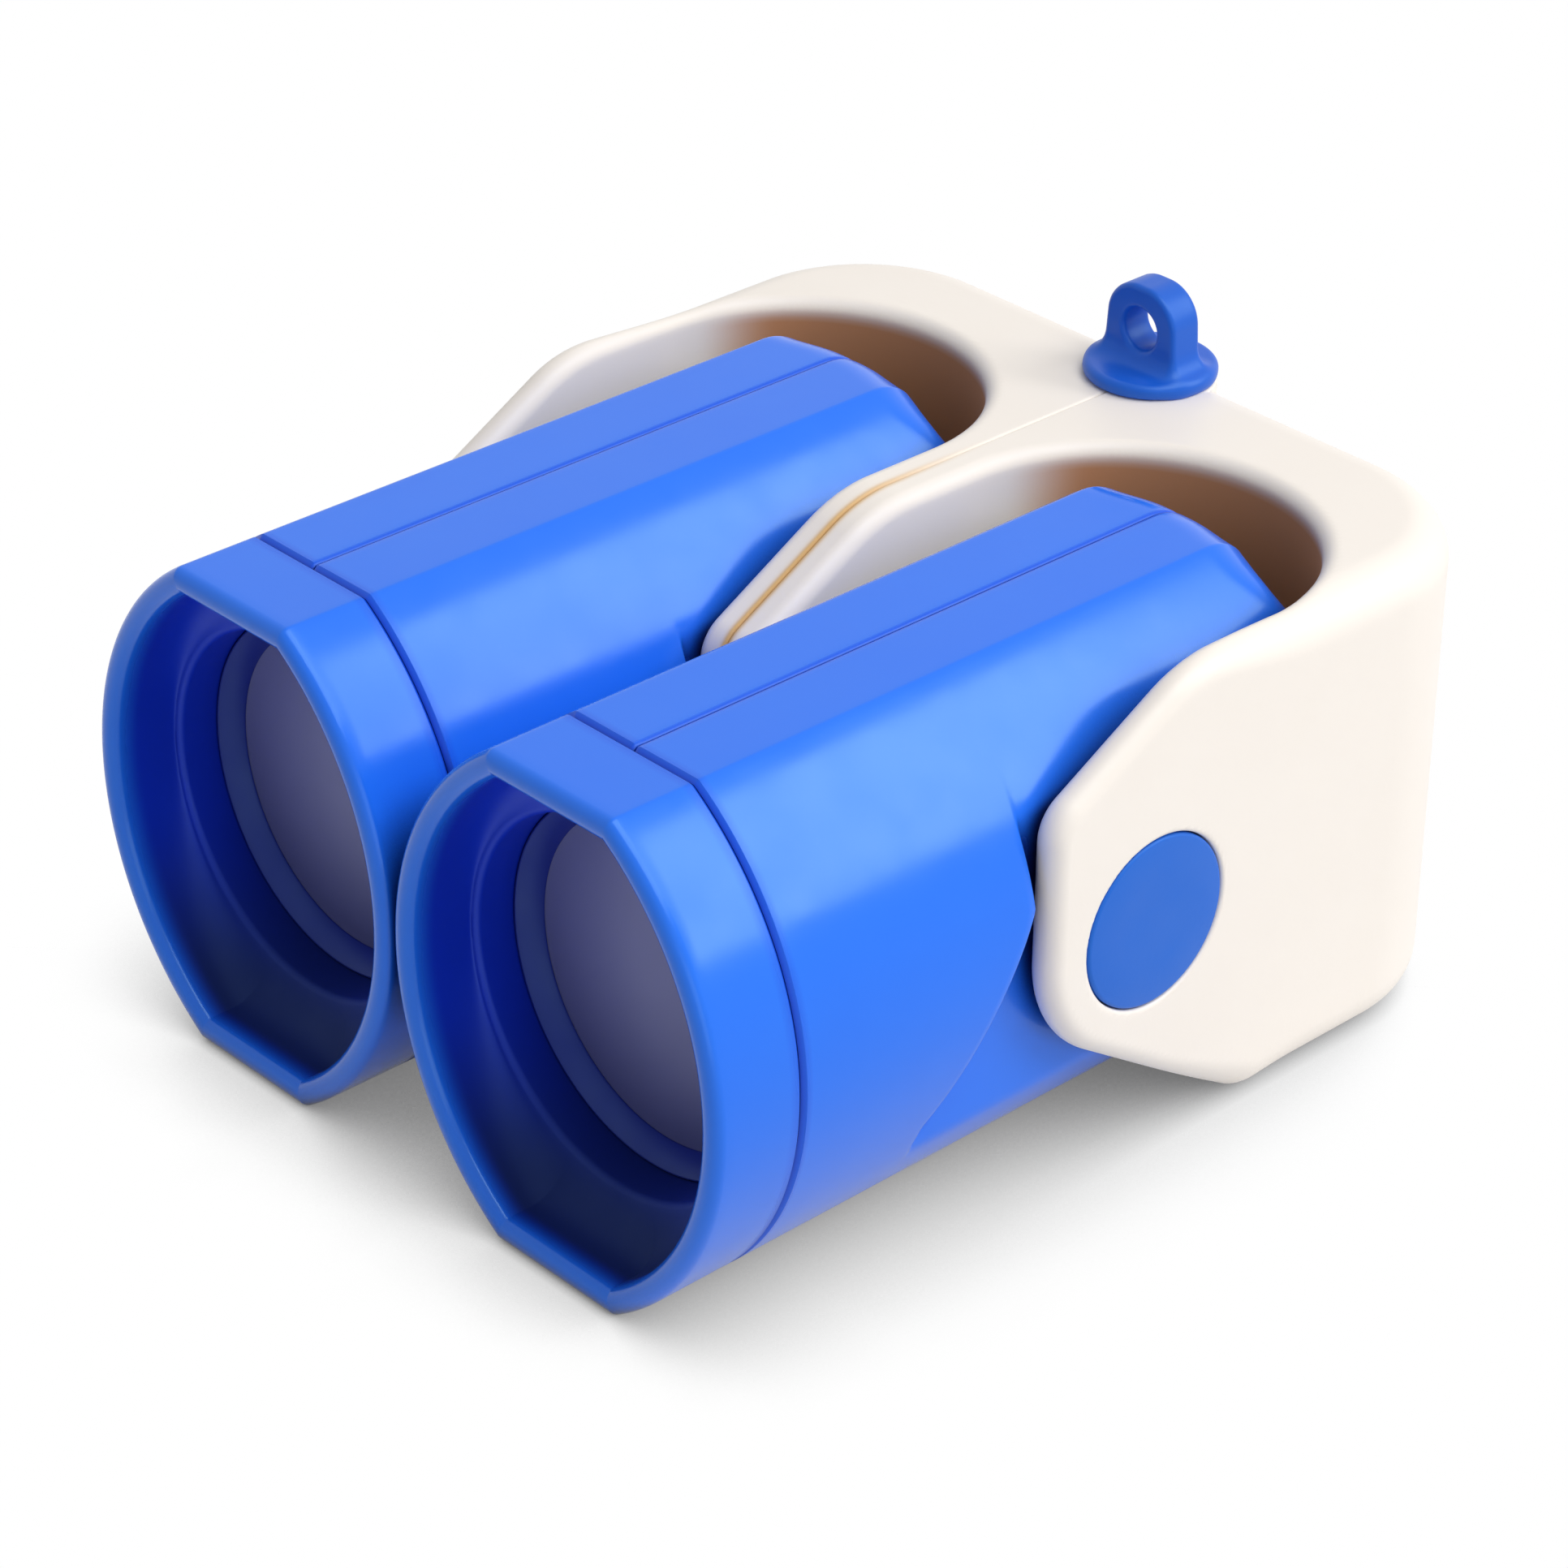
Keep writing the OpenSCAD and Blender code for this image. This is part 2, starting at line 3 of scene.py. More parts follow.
import bmesh
import bpy
import numpy as np
from mathutils import Matrix


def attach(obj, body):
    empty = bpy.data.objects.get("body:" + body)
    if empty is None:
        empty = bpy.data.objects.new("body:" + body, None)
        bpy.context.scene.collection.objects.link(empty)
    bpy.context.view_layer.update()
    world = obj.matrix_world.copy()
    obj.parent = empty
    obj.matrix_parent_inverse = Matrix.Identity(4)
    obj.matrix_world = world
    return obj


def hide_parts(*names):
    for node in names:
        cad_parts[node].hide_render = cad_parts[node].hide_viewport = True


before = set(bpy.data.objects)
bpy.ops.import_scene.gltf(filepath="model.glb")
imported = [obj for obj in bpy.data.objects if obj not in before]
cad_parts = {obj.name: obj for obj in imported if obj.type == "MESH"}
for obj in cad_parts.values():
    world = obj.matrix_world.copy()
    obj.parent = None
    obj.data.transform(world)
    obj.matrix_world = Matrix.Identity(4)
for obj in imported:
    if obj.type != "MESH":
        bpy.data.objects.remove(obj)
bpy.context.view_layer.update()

# Body shells
# Two injection-moulded halves of cream satin ABS, each with a deep pocket for its barrel and an outer cheek.
# They meet on the middle plane in a fine seam, and screws through the centre wall pull them together.
MM = 0.001
BARREL_X = 28.0
PIVOT_Y = 1.6
PIVOT_Z = 32.5
body_half_width = 56.0
body_height = 64.0
body_rear = 61.4
rear_corner = 21.0
rear_edge_round = 5.4
cheek_edge_round = 2.3
edge_change_start = 2.0
edge_change_length = 26.0
pocket_radius = 23.6
pocket_centre_y = 21.5
pocket_edge_round = 2.0
cheek_reach = 17.0
undercut_angle = math.radians(33.6)
slope_angle = math.radians(29.0)
slope_reach = 25.0
nose_round = 6.0
brow_round = 20.0
foot_round = 8.0
seam_gap = 0.03
seam_round = 0.4
pivot_hole_radius = 11.2
pivot_hole_round = 0.5
eyepiece_pad_radius = 12.6
eyepiece_pad_reach = 6.0
eyepiece_pad_blend = 0.5
eyepiece_bore_radius = 11.1
eyepiece_bore_depth = 14.2
eyelet_y = 55.9
corbel_radius = 8.5
corbel_z = 53.3
corbel_taper = 0.5
corbel_turn_blend = 1.0
corbel_edge_round = 0.4
corbel_fillet_least = 0.1
corbel_fillet_gain = 2.4
corbel_fillet_start = 1.5
corbel_fillet_length = 6.0
eyelet_hole_radius = 3.8
eyelet_hole_depth = 9.0
screw_recess_radius = 2.6
screw_recess_floor = 2.7
screw_recess_mouth = 9.0
screw_places = ((-10.0, 45.0), (17.5, 54.0), (17.5, 10.0))
pocket_skin = 0.5
pocket_shade_top = 63.2
pocket_shade_fade = 2.4
pocket_shade_start = 25.0
pocket_shade_length = 11.0
seam_paint_x = 0.2
seam_paint_width = 0.5
seam_paint_length = 30.0


def paint(red, green, blue):
    """Colour from its three screen values of 0 to 255, each made linear by the usual screen curve."""
    screen = np.array([red, green, blue]) / 255.0
    linear = np.where(screen <= 0.04045, screen / 12.92, ((screen + 0.055) / 1.055) ** 2.4)
    return (*linear.tolist(), 1.0)


def soft_step(t):
    """0 below 0 and 1 above 1, and between them three t squared less two t cubed."""
    t = np.clip(t, 0.0, 1.0)
    return t * t * (3.0 - 2.0 * t)


def both(a, b, radius):
    """Distance to what lies in two solids whose faces meet squarely, the shared edge rounded:
    the length of the two overshoots past minus the radius, less the radius."""
    reach = np.hypot(np.maximum(a + radius, 0.0), np.maximum(b + radius, 0.0))
    return np.minimum(np.maximum(a, b), -radius) + reach


def either(a, b, blend):
    """Distance to what lies in one of two solids, with a hollow fillet where they meet:
    the smaller distance, less a quarter of the squared closeness over the blend."""
    close = np.maximum(blend - np.abs(a - b), 0.0)
    return np.minimum(a, b) - close * close / (4.0 * blend)


def lesser(a, b, blend):
    """The smaller of two lengths, and where they are close a little less, so the change is smooth:
    their mean, less half the length of their difference and the blend at right angles."""
    return (a + b - np.hypot(a - b, blend)) / 2.0


def rounded_turn(y, z, centre, first, second, radius):
    """Distance to an outline that turns clockwise from one straight edge to the next round an arc:
    between the two edge normals it is the distance from the centre less the radius,
    elsewhere the larger of the two straight-edge distances."""
    y = y - centre[0]
    z = z - centre[1]
    past_first = y * math.sin(first) - z * math.cos(first)
    past_second = z * math.cos(second) - y * math.sin(second)
    edge_one = y * math.cos(first) + z * math.sin(first)
    edge_two = y * math.cos(second) + z * math.sin(second)
    on_arc = (past_first >= 0.0) & (past_second >= 0.0)
    return np.where(on_arc, np.hypot(y, z), np.maximum(edge_one, edge_two)) - radius


def cheek_profile(y, z):
    """Side outline of the body about the pivot: the lower edge, the front edge, the upper slope and the
    top, each pair joined by an arc, and the lower edge joined to the underside by another."""
    under = math.pi * 1.5 - undercut_angle
    front = math.pi
    slope = math.pi / 2 + slope_angle
    top = body_height - PIVOT_Z
    nose_y = nose_round - cheek_reach
    nose_z = (slope_reach - nose_round - nose_y * math.cos(slope)) / math.sin(slope)
    brow_z = top - brow_round
    brow_y = (slope_reach - brow_round - brow_z * math.sin(slope)) / math.cos(slope)
    foot_z = foot_round - PIVOT_Z
    foot_y = (cheek_reach - foot_round - foot_z * math.sin(under)) / math.cos(under)
    outline = rounded_turn(y, z, (0.0, 0.0), under, front, cheek_reach)
    outline = np.maximum(outline, rounded_turn(y, z, (nose_y, nose_z), front, slope, nose_round))
    outline = np.maximum(outline, rounded_turn(y, z, (brow_y, brow_z), slope, math.pi / 2, brow_round))
    return np.maximum(outline, rounded_turn(y, z, (foot_y, foot_z), math.pi * 1.5, under, foot_round))


def pocket_plan(x, y):
    """Distance to the pocket seen from above: a slot with a half-round rear end."""
    return np.hypot(x - BARREL_X, np.maximum(y - pocket_centre_y, 0.0)) - pocket_radius


def shell_distance(x, y, z, screw_heads):
    """Distance to one body half, x from the middle plane, y from the pivot and z from the floor:
    the side outline and the rounded plan together, with the eyepiece's pad and the eyelet's corbel blended
    on, and with the pocket, the seam and the holes cut away."""
    up = z - PIVOT_Z
    side = np.maximum(x - body_half_width + rear_corner, 0.0)
    back = np.maximum(y - body_rear + rear_corner, 0.0)
    inner = np.maximum(x - body_half_width, y - body_rear)
    plan = np.maximum(np.hypot(side, back) - rear_corner, inner)
    rearward = soft_step((y - edge_change_start) / edge_change_length)
    edge_round = cheek_edge_round + (rear_edge_round - cheek_edge_round) * rearward
    solid = both(cheek_profile(y, up), plan, edge_round)
    eyepiece = np.hypot(x - BARREL_X, up)
    pad_ends = np.abs(y - body_rear + eyepiece_pad_reach) - eyepiece_pad_reach
    solid = either(solid, np.maximum(eyepiece - eyepiece_pad_radius, pad_ends), eyepiece_pad_blend)
    beside = np.hypot(x, y - eyelet_y) - corbel_radius
    below = (beside + corbel_taper * (corbel_z - z)) / math.hypot(1.0, corbel_taper)
    corbel = both(-lesser(-beside, -below, corbel_turn_blend), z - body_height, corbel_edge_round)
    lower = soft_step((body_height - corbel_fillet_start - z) / corbel_fillet_length)
    solid = either(solid, corbel, corbel_fillet_least + corbel_fillet_gain * lower)
    solid = both(solid, -pocket_plan(x, y), pocket_edge_round)
    solid = both(solid, seam_gap - x, seam_round)
    pivot_hole = np.maximum(np.hypot(y, up) - pivot_hole_radius, BARREL_X - x)
    solid = both(solid, -pivot_hole, pivot_hole_round)
    bore = np.maximum(eyepiece - eyepiece_bore_radius, body_rear - eyepiece_bore_depth - y)
    solid = np.maximum(solid, -bore)
    hole_floor = body_height - eyelet_hole_depth - z
    post_hole = np.maximum(np.hypot(x, y - eyelet_y) - eyelet_hole_radius, hole_floor)
    solid = np.maximum(solid, -post_hole)
    for place_y, place_z in screw_places if screw_heads else ():
        recess = np.hypot(y - place_y, z - place_z) - screw_recess_radius
        ends = np.maximum(screw_recess_floor - x, x - screw_recess_mouth)
        solid = np.maximum(solid, -np.maximum(recess, ends))
    return solid


def lines(*spans):
    """Grid lines along one axis: each span (start, end, step) is cut into equal steps of about that size."""
    runs = []
    for low, high, step in spans:
        runs.append(np.linspace(low, high, max(2, round((high - low) / step) + 1))[:-1])
    return np.concatenate([*runs, [spans[-1][1]]])


def surface_net(distance, xs, ys, zs):
    """Points, faces and normals of the closed surface where a distance is zero.

    A moulding with pockets, arcs and rolling edge radii has no single two-way grid, so a net is laid
    over it: each cell of the grid that the surface crosses holds one point, the mean of the crossings
    on its edges; the four cells round a crossed edge make one face, seen from the positive side. Each
    point then slides down the slope of the distance until the distance is zero."""
    thin = (xs[:, None, None], ys[None, :, None], zs[None, None, :])
    grid = np.broadcast_arrays(*thin)
    field = distance(*thin)
    inside = field < 0.0
    cells = (len(xs) - 1, len(ys) - 1, len(zs) - 1)
    total = np.zeros((*cells, 3))
    count = np.zeros(cells)
    crossings = []
    for axis in range(3):
        before = tuple(slice(None, -1) if k == axis else slice(None) for k in range(3))
        after = tuple(slice(1, None) if k == axis else slice(None) for k in range(3))
        low = field[before]
        high = field[after]
        crossed = inside[before] != inside[after]
        share = np.where(crossed, low / np.where(crossed, low - high, 1.0), 0.0)
        place = [spread[before] for spread in grid]
        place[axis] = place[axis] + share * (grid[axis][after] - grid[axis][before])
        for corner in np.ndindex(*(1 if k == axis else 2 for k in range(3))):
            part = tuple(slice(start, start + size) for start, size in zip(corner, cells))
            count += crossed[part]
            for k in range(3):
                total[..., k] += crossed[part] * place[k][part]
        crossings.append((axis, crossed, inside[before]))
    used = count > 0
    number = np.full(cells, -1)
    number[used] = np.arange(used.sum())
    points = total[used] / count[used][:, None]
    faces = []
    for axis, crossed, starts_inside in crossings:
        u = (axis + 1) % 3
        v = (axis + 2) % 3
        spot = np.argwhere(crossed)
        spot = spot[(spot[:, u] > 0) & (spot[:, v] > 0) & (spot[:, u] < cells[u]) & (spot[:, v] < cells[v])]
        ring = []
        for back_u, back_v in ((1, 1), (0, 1), (0, 0), (1, 0)):
            cell = spot.copy()
            cell[:, u] -= back_u
            cell[:, v] -= back_v
            ring.append(number[tuple(cell.T)])
        ring = np.stack(ring, axis=1)
        outward = starts_inside[tuple(spot.T)]
        faces.append(np.where(outward[:, None], ring, ring[:, ::-1]))
    nudge = 0.02
    slides = 5
    least_steep = 0.25
    longest_slide = 0.3
    for _ in range(slides):
        here = distance(*points.T)
        slope = np.stack([
            (distance(*(points + nudge * way).T) - distance(*(points - nudge * way).T)) / (2.0 * nudge)
            for way in np.eye(3)
        ], axis=1)
        steep = np.maximum((slope * slope).sum(axis=1), least_steep)
        points = points - np.clip(here / steep, -longest_slide, longest_slide)[:, None] * slope
    normals = slope / np.maximum(np.linalg.norm(slope, axis=1), 1e-6)[:, None]
    return points, np.concatenate(faces), normals


def make_piece(name, points, faces, material, normals=None, crease=40.0, marks=None):
    """Mesh object at the origin from points in millimetres. Faces are turned outwards by the sign of the
    enclosed volume, the sum of the corner triple products. Points in one place are welded, edges sharper
    than the crease stay crisp, and marks are numbers per point for the material."""
    weld = 1e-7
    corners = points[faces]
    spread = np.cross(corners[:, 1] - corners[:, 0], corners[:, 2] - corners[:, 0])
    spread += np.cross(corners[:, 2] - corners[:, 0], corners[:, 3] - corners[:, 0])
    if (corners.mean(axis=1) * spread).sum() < 0.0:
        faces = faces[:, ::-1]
    mesh = bpy.data.meshes.new(name)
    mesh.from_pydata((points * MM).tolist(), [], faces.tolist())
    for mark, values in (marks or {}).items():
        mesh.attributes.new(mark, "FLOAT", "POINT").data.foreach_set("value", values.astype(np.float32))
    shape = bmesh.new()
    shape.from_mesh(mesh)
    bmesh.ops.remove_doubles(shape, verts=shape.verts, dist=weld)
    shape.to_mesh(mesh)
    shape.free()
    mesh.shade_smooth()
    if normals is None:
        mesh.set_sharp_from_angle(angle=math.radians(crease))
    elif len(mesh.vertices) == len(points):
        mesh.normals_split_custom_set_from_vertices(normals.tolist())
    mesh.materials.append(material)
    piece = bpy.data.objects.new(name, mesh)
    bpy.context.scene.collection.objects.link(piece)
    return piece


def add_node(tree, kind, sockets=None, **settings):
    """New shader node with the given settings. Each of its sockets, by name or number, is given a value, or
    the output of another node to follow."""
    made = tree.nodes.new(kind)
    for key, value in settings.items():
        setattr(made, key, value)
    for key, value in (sockets or {}).items():
        if isinstance(value, bpy.types.NodeSocket):
            tree.links.new(value, made.inputs[key])
        else:
            made.inputs[key].default_value = value
    return made


MIX_FACTOR = 0
MIX_A = 6
MIX_B = 7
MIX_RESULT = 2
NO_TINT = (1.0, 1.0, 1.0, 1.0)


def blended(tree, factor, first, second):
    """Colour that goes from the first to the second by a factor, each a value or the output of a node."""
    sockets = {MIX_FACTOR: factor, MIX_A: first, MIX_B: second}
    return add_node(tree, "ShaderNodeMix", sockets, data_type="RGBA").outputs[MIX_RESULT]


def new_material(name):
    """New material, its node tree and its shader."""
    material = bpy.data.materials.new(name)
    material.use_nodes = True
    return material, material.node_tree, material.node_tree.nodes["Principled BSDF"]


def moulded_plastic(name, colour, cloud, gloss, grain, height, shine=NO_TINT, marks=(), crevice=None):
    """Plastic with faint clouds in its colour, uneven gloss and a fine moulded grain in its bump.
    Gloss is the least and the most roughness, grain and height are in millimetres, and shine is the
    tint of its reflections. Each mark is (attribute, colour): where the attribute is 1 the plastic
    has that colour and is duller. Crevice is (colour, reach): the colour in gaps narrower than the
    reach in millimetres, where little light falls."""
    mark_dullness = 0.25
    crevice_open = 0.75
    crevice_shut = 0.15
    material, tree, shader = new_material(name)
    shader.inputs["Specular Tint"].default_value = shine
    place = add_node(tree, "ShaderNodeTexCoord").outputs["Object"]
    clouds = add_node(tree, "ShaderNodeTexNoise",
                      {"Vector": place, "Scale": 45.0, "Detail": 4.0, "Roughness": 0.55})
    tone = blended(tree, clouds.outputs["Fac"], colour, cloud)
    sheen = add_node(tree, "ShaderNodeTexNoise", {"Vector": place, "Scale": 160.0, "Detail": 3.0})
    dull = add_node(tree, "ShaderNodeMapRange", {
        "Value": sheen.outputs["Fac"], "From Min": 0.3, "From Max": 0.7,
        "To Min": gloss[0], "To Max": gloss[1],
    }).outputs["Result"]
    for attribute, mark_colour in marks:
        where = add_node(tree, "ShaderNodeAttribute", attribute_name=attribute).outputs["Fac"]
        tone = blended(tree, where, tone, mark_colour)
        sockets = {0: where, 1: mark_dullness, 2: dull}
        dull = add_node(tree, "ShaderNodeMath", sockets, operation="MULTIPLY_ADD").outputs["Value"]
    # Painted shade: the crevice colour is laid where ambient occlusion finds little open sky.
    if crevice:
        sky = add_node(tree, "ShaderNodeAmbientOcclusion", {"Distance": crevice[1] * MM}, samples=8)
        sockets = {"Value": sky.outputs["AO"], "From Min": crevice_open, "From Max": crevice_shut}
        shut_in = add_node(tree, "ShaderNodeMapRange", sockets).outputs["Result"]
        tone = blended(tree, shut_in, tone, crevice[0])
    sockets = {"Vector": place, "Scale": 1.0 / (grain * MM), "Detail": 2.0}
    skin = add_node(tree, "ShaderNodeTexNoise", sockets).outputs["Fac"]
    bump = add_node(tree, "ShaderNodeBump", {"Height": skin, "Strength": 1.0, "Distance": height * MM})
    tree.links.new(tone, shader.inputs["Base Color"])
    tree.links.new(dull, shader.inputs["Roughness"])
    tree.links.new(bump.outputs["Normal"], shader.inputs["Normal"])
    return material


# The pocket walls are painted a warmer, paler cream as painted warm light, and their rear wall below the rim
# a painted brown shade.
cream = moulded_plastic(
    "cream_satin_plastic", paint(247, 240, 232), paint(243, 235, 226), (0.36, 0.46), 0.7, 0.010,
    marks=(
        ("pocket_wall_warm_light", paint(255, 244, 224)),
        ("pocket_shade", paint(216, 150, 98)),
        ("seam", paint(218, 176, 112)),
    ),
)
SIDES = (("left", -1.0), ("right", 1.0))
shell_x = lines((-0.5, 1.4, 0.14), (1.4, 53.2, 0.64), (53.2, 56.8, 0.3))
shell_y = lines((-18.2, 65.8, 0.64))
shell_z = lines((-0.7, 65.0, 0.64))
for side, sign in SIDES:
    points, faces, normals = surface_net(
        lambda x, y, z: shell_distance(x, y, z, side == "left"), shell_x, shell_y, shell_z
    )
    x, y, z = points.T
    # Masks for the painted warm light on the pocket walls and the painted brown shade on their rear wall.
    on_pocket = np.exp(-(pocket_plan(x, y) / pocket_skin) ** 2)
    sunk = soft_step((pocket_shade_top - z) / pocket_shade_fade)
    shade = on_pocket * sunk * soft_step((y - pocket_shade_start) / pocket_shade_length)
    seam = np.exp(-((x - seam_paint_x) / seam_paint_width) ** 2)
    seam = seam * soft_step((seam_paint_length - y) / seam_paint_length)
    mirror = np.array([sign, 1.0, 1.0])
    shell = make_piece(
        f"{side}_body_shell_skin", points * mirror + np.array([0.0, PIVOT_Y, 0.0]), faces, cream,
        normals * mirror, marks={"pocket_wall_warm_light": on_pocket, "pocket_shade": shade, "seam": seam},
    )
    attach(shell, "housing")
    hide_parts(f"{side}_body_shell")

# Shell screws
# Three short steel screws join the halves; they go in from the left pocket, through the centre wall.
# They stay as the solids give them, in zinc-plated steel with fine turning marks.


def plated_steel(name, colour, worn_colour):
    """Bright metal with a fine brushed unevenness in its colour and gloss."""
    material, tree, shader = new_material(name)
    shader.inputs["Metallic"].default_value = 1.0
    place = add_node(tree, "ShaderNodeTexCoord").outputs["Object"]
    sockets = {"Vector": place, "Scale": 900.0, "Detail": 3.0}
    brushed = add_node(tree, "ShaderNodeTexNoise", sockets).outputs["Fac"]
    spread = add_node(tree, "ShaderNodeMapRange", {"Value": brushed, "To Min": 0.22, "To Max": 0.42})
    tree.links.new(blended(tree, brushed, colour, worn_colour), shader.inputs["Base Color"])
    tree.links.new(spread.outputs["Result"], shader.inputs["Roughness"])
    return material


def dress(node, material):
    """Gives a solid that is kept as it is its finish, in every slot that it has."""
    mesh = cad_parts[node].data
    if not mesh.materials:
        mesh.materials.append(material)
    for slot in range(len(mesh.materials)):
        mesh.materials[slot] = material


screw_steel = plated_steel("zinc_plated_screw_steel", paint(196, 198, 202), paint(150, 152, 156))
dress("shell_screws", screw_steel)

# Eyepieces
# Two cups of glossy blue ABS stand a little proud of the rear face, each a tube pressed into the body.
# A small tinted lens lies on a lip in the tube, and a thin dark-blue ring holds it there.
cup_tube = 11.0
cup_front = 47.4
cup_flange = 13.0
cup_rear = 64.4
cup_foot_round = 0.4
cup_rim_round = 1.4
cup_rim_height = 1.5
cup_rim_flat = 0.3
cup_mouth_flare = 0.5
cup_mouth_y = 61.2
cup_shade_y = 63.4
cup_shade_length = 3.0
cup_shade_margin = 0.4
eye_bore = 9.4
eye_lip = 8.0
eye_lens_front = 54.8
eye_lens_rear = 56.4
eye_lens_rise = 1.0
eye_ring_rear = 57.9
eye_ring_round = 0.2
eye_ring_roll = 0.6
eye_fit = 0.1
eye_columns = 96
seat_gap = 0.05


def barrel_axis(sign):
    """Where the axis of the left or the right barrel passes its pivot."""
    return np.array([sign * BARREL_X, PIVOT_Y, PIVOT_Z])


def grid_faces(rows, columns, wrap_rows, wrap_columns=True):
    """Four-sided faces of a grid of points, row by row; the rows and the columns close if asked."""
    row = np.arange(rows if wrap_rows else rows - 1)[:, None]
    column = np.arange(columns if wrap_columns else columns - 1)[None, :]
    next_row = (row + 1) % rows
    next_column = (column + 1) % columns
    ring = (row * columns + column, row * columns + next_column,
            next_row * columns + next_column, next_row * columns + column)
    return np.stack(ring, axis=-1).reshape(-1, 4)


def rolled(start, end, radius_way, steps=5):
    """Quarter round from one profile point to another: it leaves along the radius if radius_way is true,
    and otherwise along the axis."""
    turn = np.linspace(0.0, math.pi / 2, steps + 1)
    first = np.sin(turn)
    second = 1.0 - np.cos(turn)
    along_r, along_y = (first, second) if radius_way else (second, first)
    start = np.array(start)
    end = np.array(end)
    return start + (end - start) * np.stack([along_r, along_y], axis=1)


def turned(profile, columns, closed, across=False):
    """Surface of revolution: each profile point (radius, place) is carried round the axis in equal turns.
    The axis is y, or x when across is true. A closed profile is a ring, an open one starts and ends on
    the axis."""
    profile = np.asarray(profile, dtype=float)
    turn = np.linspace(0.0, 2.0 * math.pi, columns, endpoint=False)[None, :]
    radius = profile[:, :1]
    place = np.broadcast_to(profile[:, 1:], (len(profile), columns))
    flat = (radius * np.cos(turn), place, radius * np.sin(turn))
    if across:
        flat = (flat[1], flat[0], flat[2])
    points = np.stack(flat, axis=-1).reshape(-1, 3)
    return points, grid_faces(len(profile), columns, closed)


def dome(radius, rise, place, steps=14):
    """Profile of a shallow dome from the axis to its edge: the rise falls with the square of the radius."""
    reach = np.linspace(0.0, 1.0, steps + 1)
    return np.stack([radius * reach, place + rise * (1.0 - reach * reach)], axis=1)


def clear_plastic(name, colour, edge_colour, gloss, coat):
    """Tinted lens under a clear coat of some weight. Its colour goes from the first colour, where the
    attribute "reach" is 0, to the darker second, where that is 1, and a soft haze makes it uneven."""
    haze_share = 0.12
    material, tree, shader = new_material(name)
    shader.inputs["IOR"].default_value = 1.5
    shader.inputs["Coat Weight"].default_value = coat
    shader.inputs["Coat Roughness"].default_value = 0.04
    reach = add_node(tree, "ShaderNodeAttribute", attribute_name="reach").outputs["Fac"]
    place = add_node(tree, "ShaderNodeTexCoord").outputs["Object"]
    sockets = {"Vector": place, "Scale": 70.0, "Detail": 2.0}
    haze = add_node(tree, "ShaderNodeTexNoise", sockets).outputs["Fac"]
    uneven = add_node(tree, "ShaderNodeMath", {0: haze, 1: haze_share, 2: reach}, operation="MULTIPLY_ADD")
    tint = blended(tree, uneven.outputs["Value"], colour, edge_colour)
    spread = add_node(tree, "ShaderNodeMapRange", {"Value": haze, "To Min": gloss[0], "To Max": gloss[1]})
    tree.links.new(tint, shader.inputs["Base Color"])
    tree.links.new(spread.outputs["Result"], shader.inputs["Roughness"])
    return material


blue_shine = (0.55, 0.88, 1.0, 1.0)
# The mark "inside" is painted shade in navy: inside the barrels, cups and hoods, in the groove, at the front
# gap and along the crease.
blue = moulded_plastic(
    "glossy_blue_plastic", paint(30, 109, 240), paint(36, 116, 243), (0.17, 0.23), 3.0, 0.004, blue_shine,
    # The second mark is a deeper painted shade on the lower part of the hood's inside.
    marks=(("inside", paint(6, 48, 204)), ("hood_foot_shade", paint(5, 22, 92))), crevice=(paint(3, 12, 78), 9.0),
)
deep_blue = moulded_plastic(
    "deep_blue_plastic", paint(20, 48, 150), paint(24, 54, 158), (0.34, 0.44), 1.2, 0.006, blue_shine
)
eye_tint = clear_plastic("eye_lens_tint", paint(70, 76, 104), paint(28, 32, 52), (0.03, 0.07), 0.6)
cup_profile = np.concatenate([
    [[eye_lip, cup_front], [cup_tube, cup_front], [cup_tube, body_rear]],
    rolled((cup_flange - cup_foot_round, body_rear + seat_gap),
           (cup_flange, body_rear + seat_gap + cup_foot_round), True, 3),
    rolled((cup_flange, cup_rear - cup_rim_height), (cup_flange - cup_rim_round, cup_rear), False),
    rolled((cup_flange - cup_rim_round - cup_rim_flat, cup_rear),
           (eye_bore + cup_mouth_flare, cup_rear - cup_rim_round), True),
    [[eye_bore, cup_mouth_y], [eye_bore, eye_lens_front], [eye_lip, eye_lens_front]],
])
eye_edge = eye_bore - eye_fit
ring_profile = np.concatenate([
    [[eye_lip, eye_lens_rear + seat_gap], [eye_edge, eye_lens_rear + seat_gap]],
    rolled((eye_edge, eye_ring_rear - eye_ring_round), (eye_edge - eye_ring_round, eye_ring_rear), False, 3),
    rolled((eye_lip + eye_ring_roll, eye_ring_rear), (eye_lip, eye_ring_rear - eye_ring_roll), True, 3),
])
eye_dome = eye_lip - eye_fit
lens_profile = np.concatenate([
    dome(eye_dome, -eye_lens_rise, eye_lens_front),
    [[eye_edge, eye_lens_front], [eye_edge, eye_lens_rear]],
    dome(eye_dome, eye_lens_rise, eye_lens_rear)[::-1],
])
eyepiece_parts = (
    ("cup", cup_profile, True, blue, "barrel_plastic"),
    ("ring", ring_profile, True, deep_blue, "inner_plastic"),
    ("lens", lens_profile, False, eye_tint, "eye_lens"),
)
for side, sign in SIDES:
    for part, profile, closed, material, slot in eyepiece_parts:
        points, faces = turned(profile, eye_columns, closed)
        radius = np.hypot(points[:, 0], points[:, 2])
        # The cup's bore is painted in shade, deeper further in, and the lens is darker towards its edge.
        deep = soft_step((cup_shade_y - points[:, 1]) / cup_shade_length)
        deep = deep * (radius < eye_bore + cup_shade_margin)
        piece = make_piece(
            f"{side}_eyepiece_{part}_skin", points + barrel_axis(sign), faces, material,
            marks={"inside": deep, "reach": radius / eye_bore},
        )
        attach(piece, "housing")
        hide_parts(f"{side}_eyepiece_{part}")

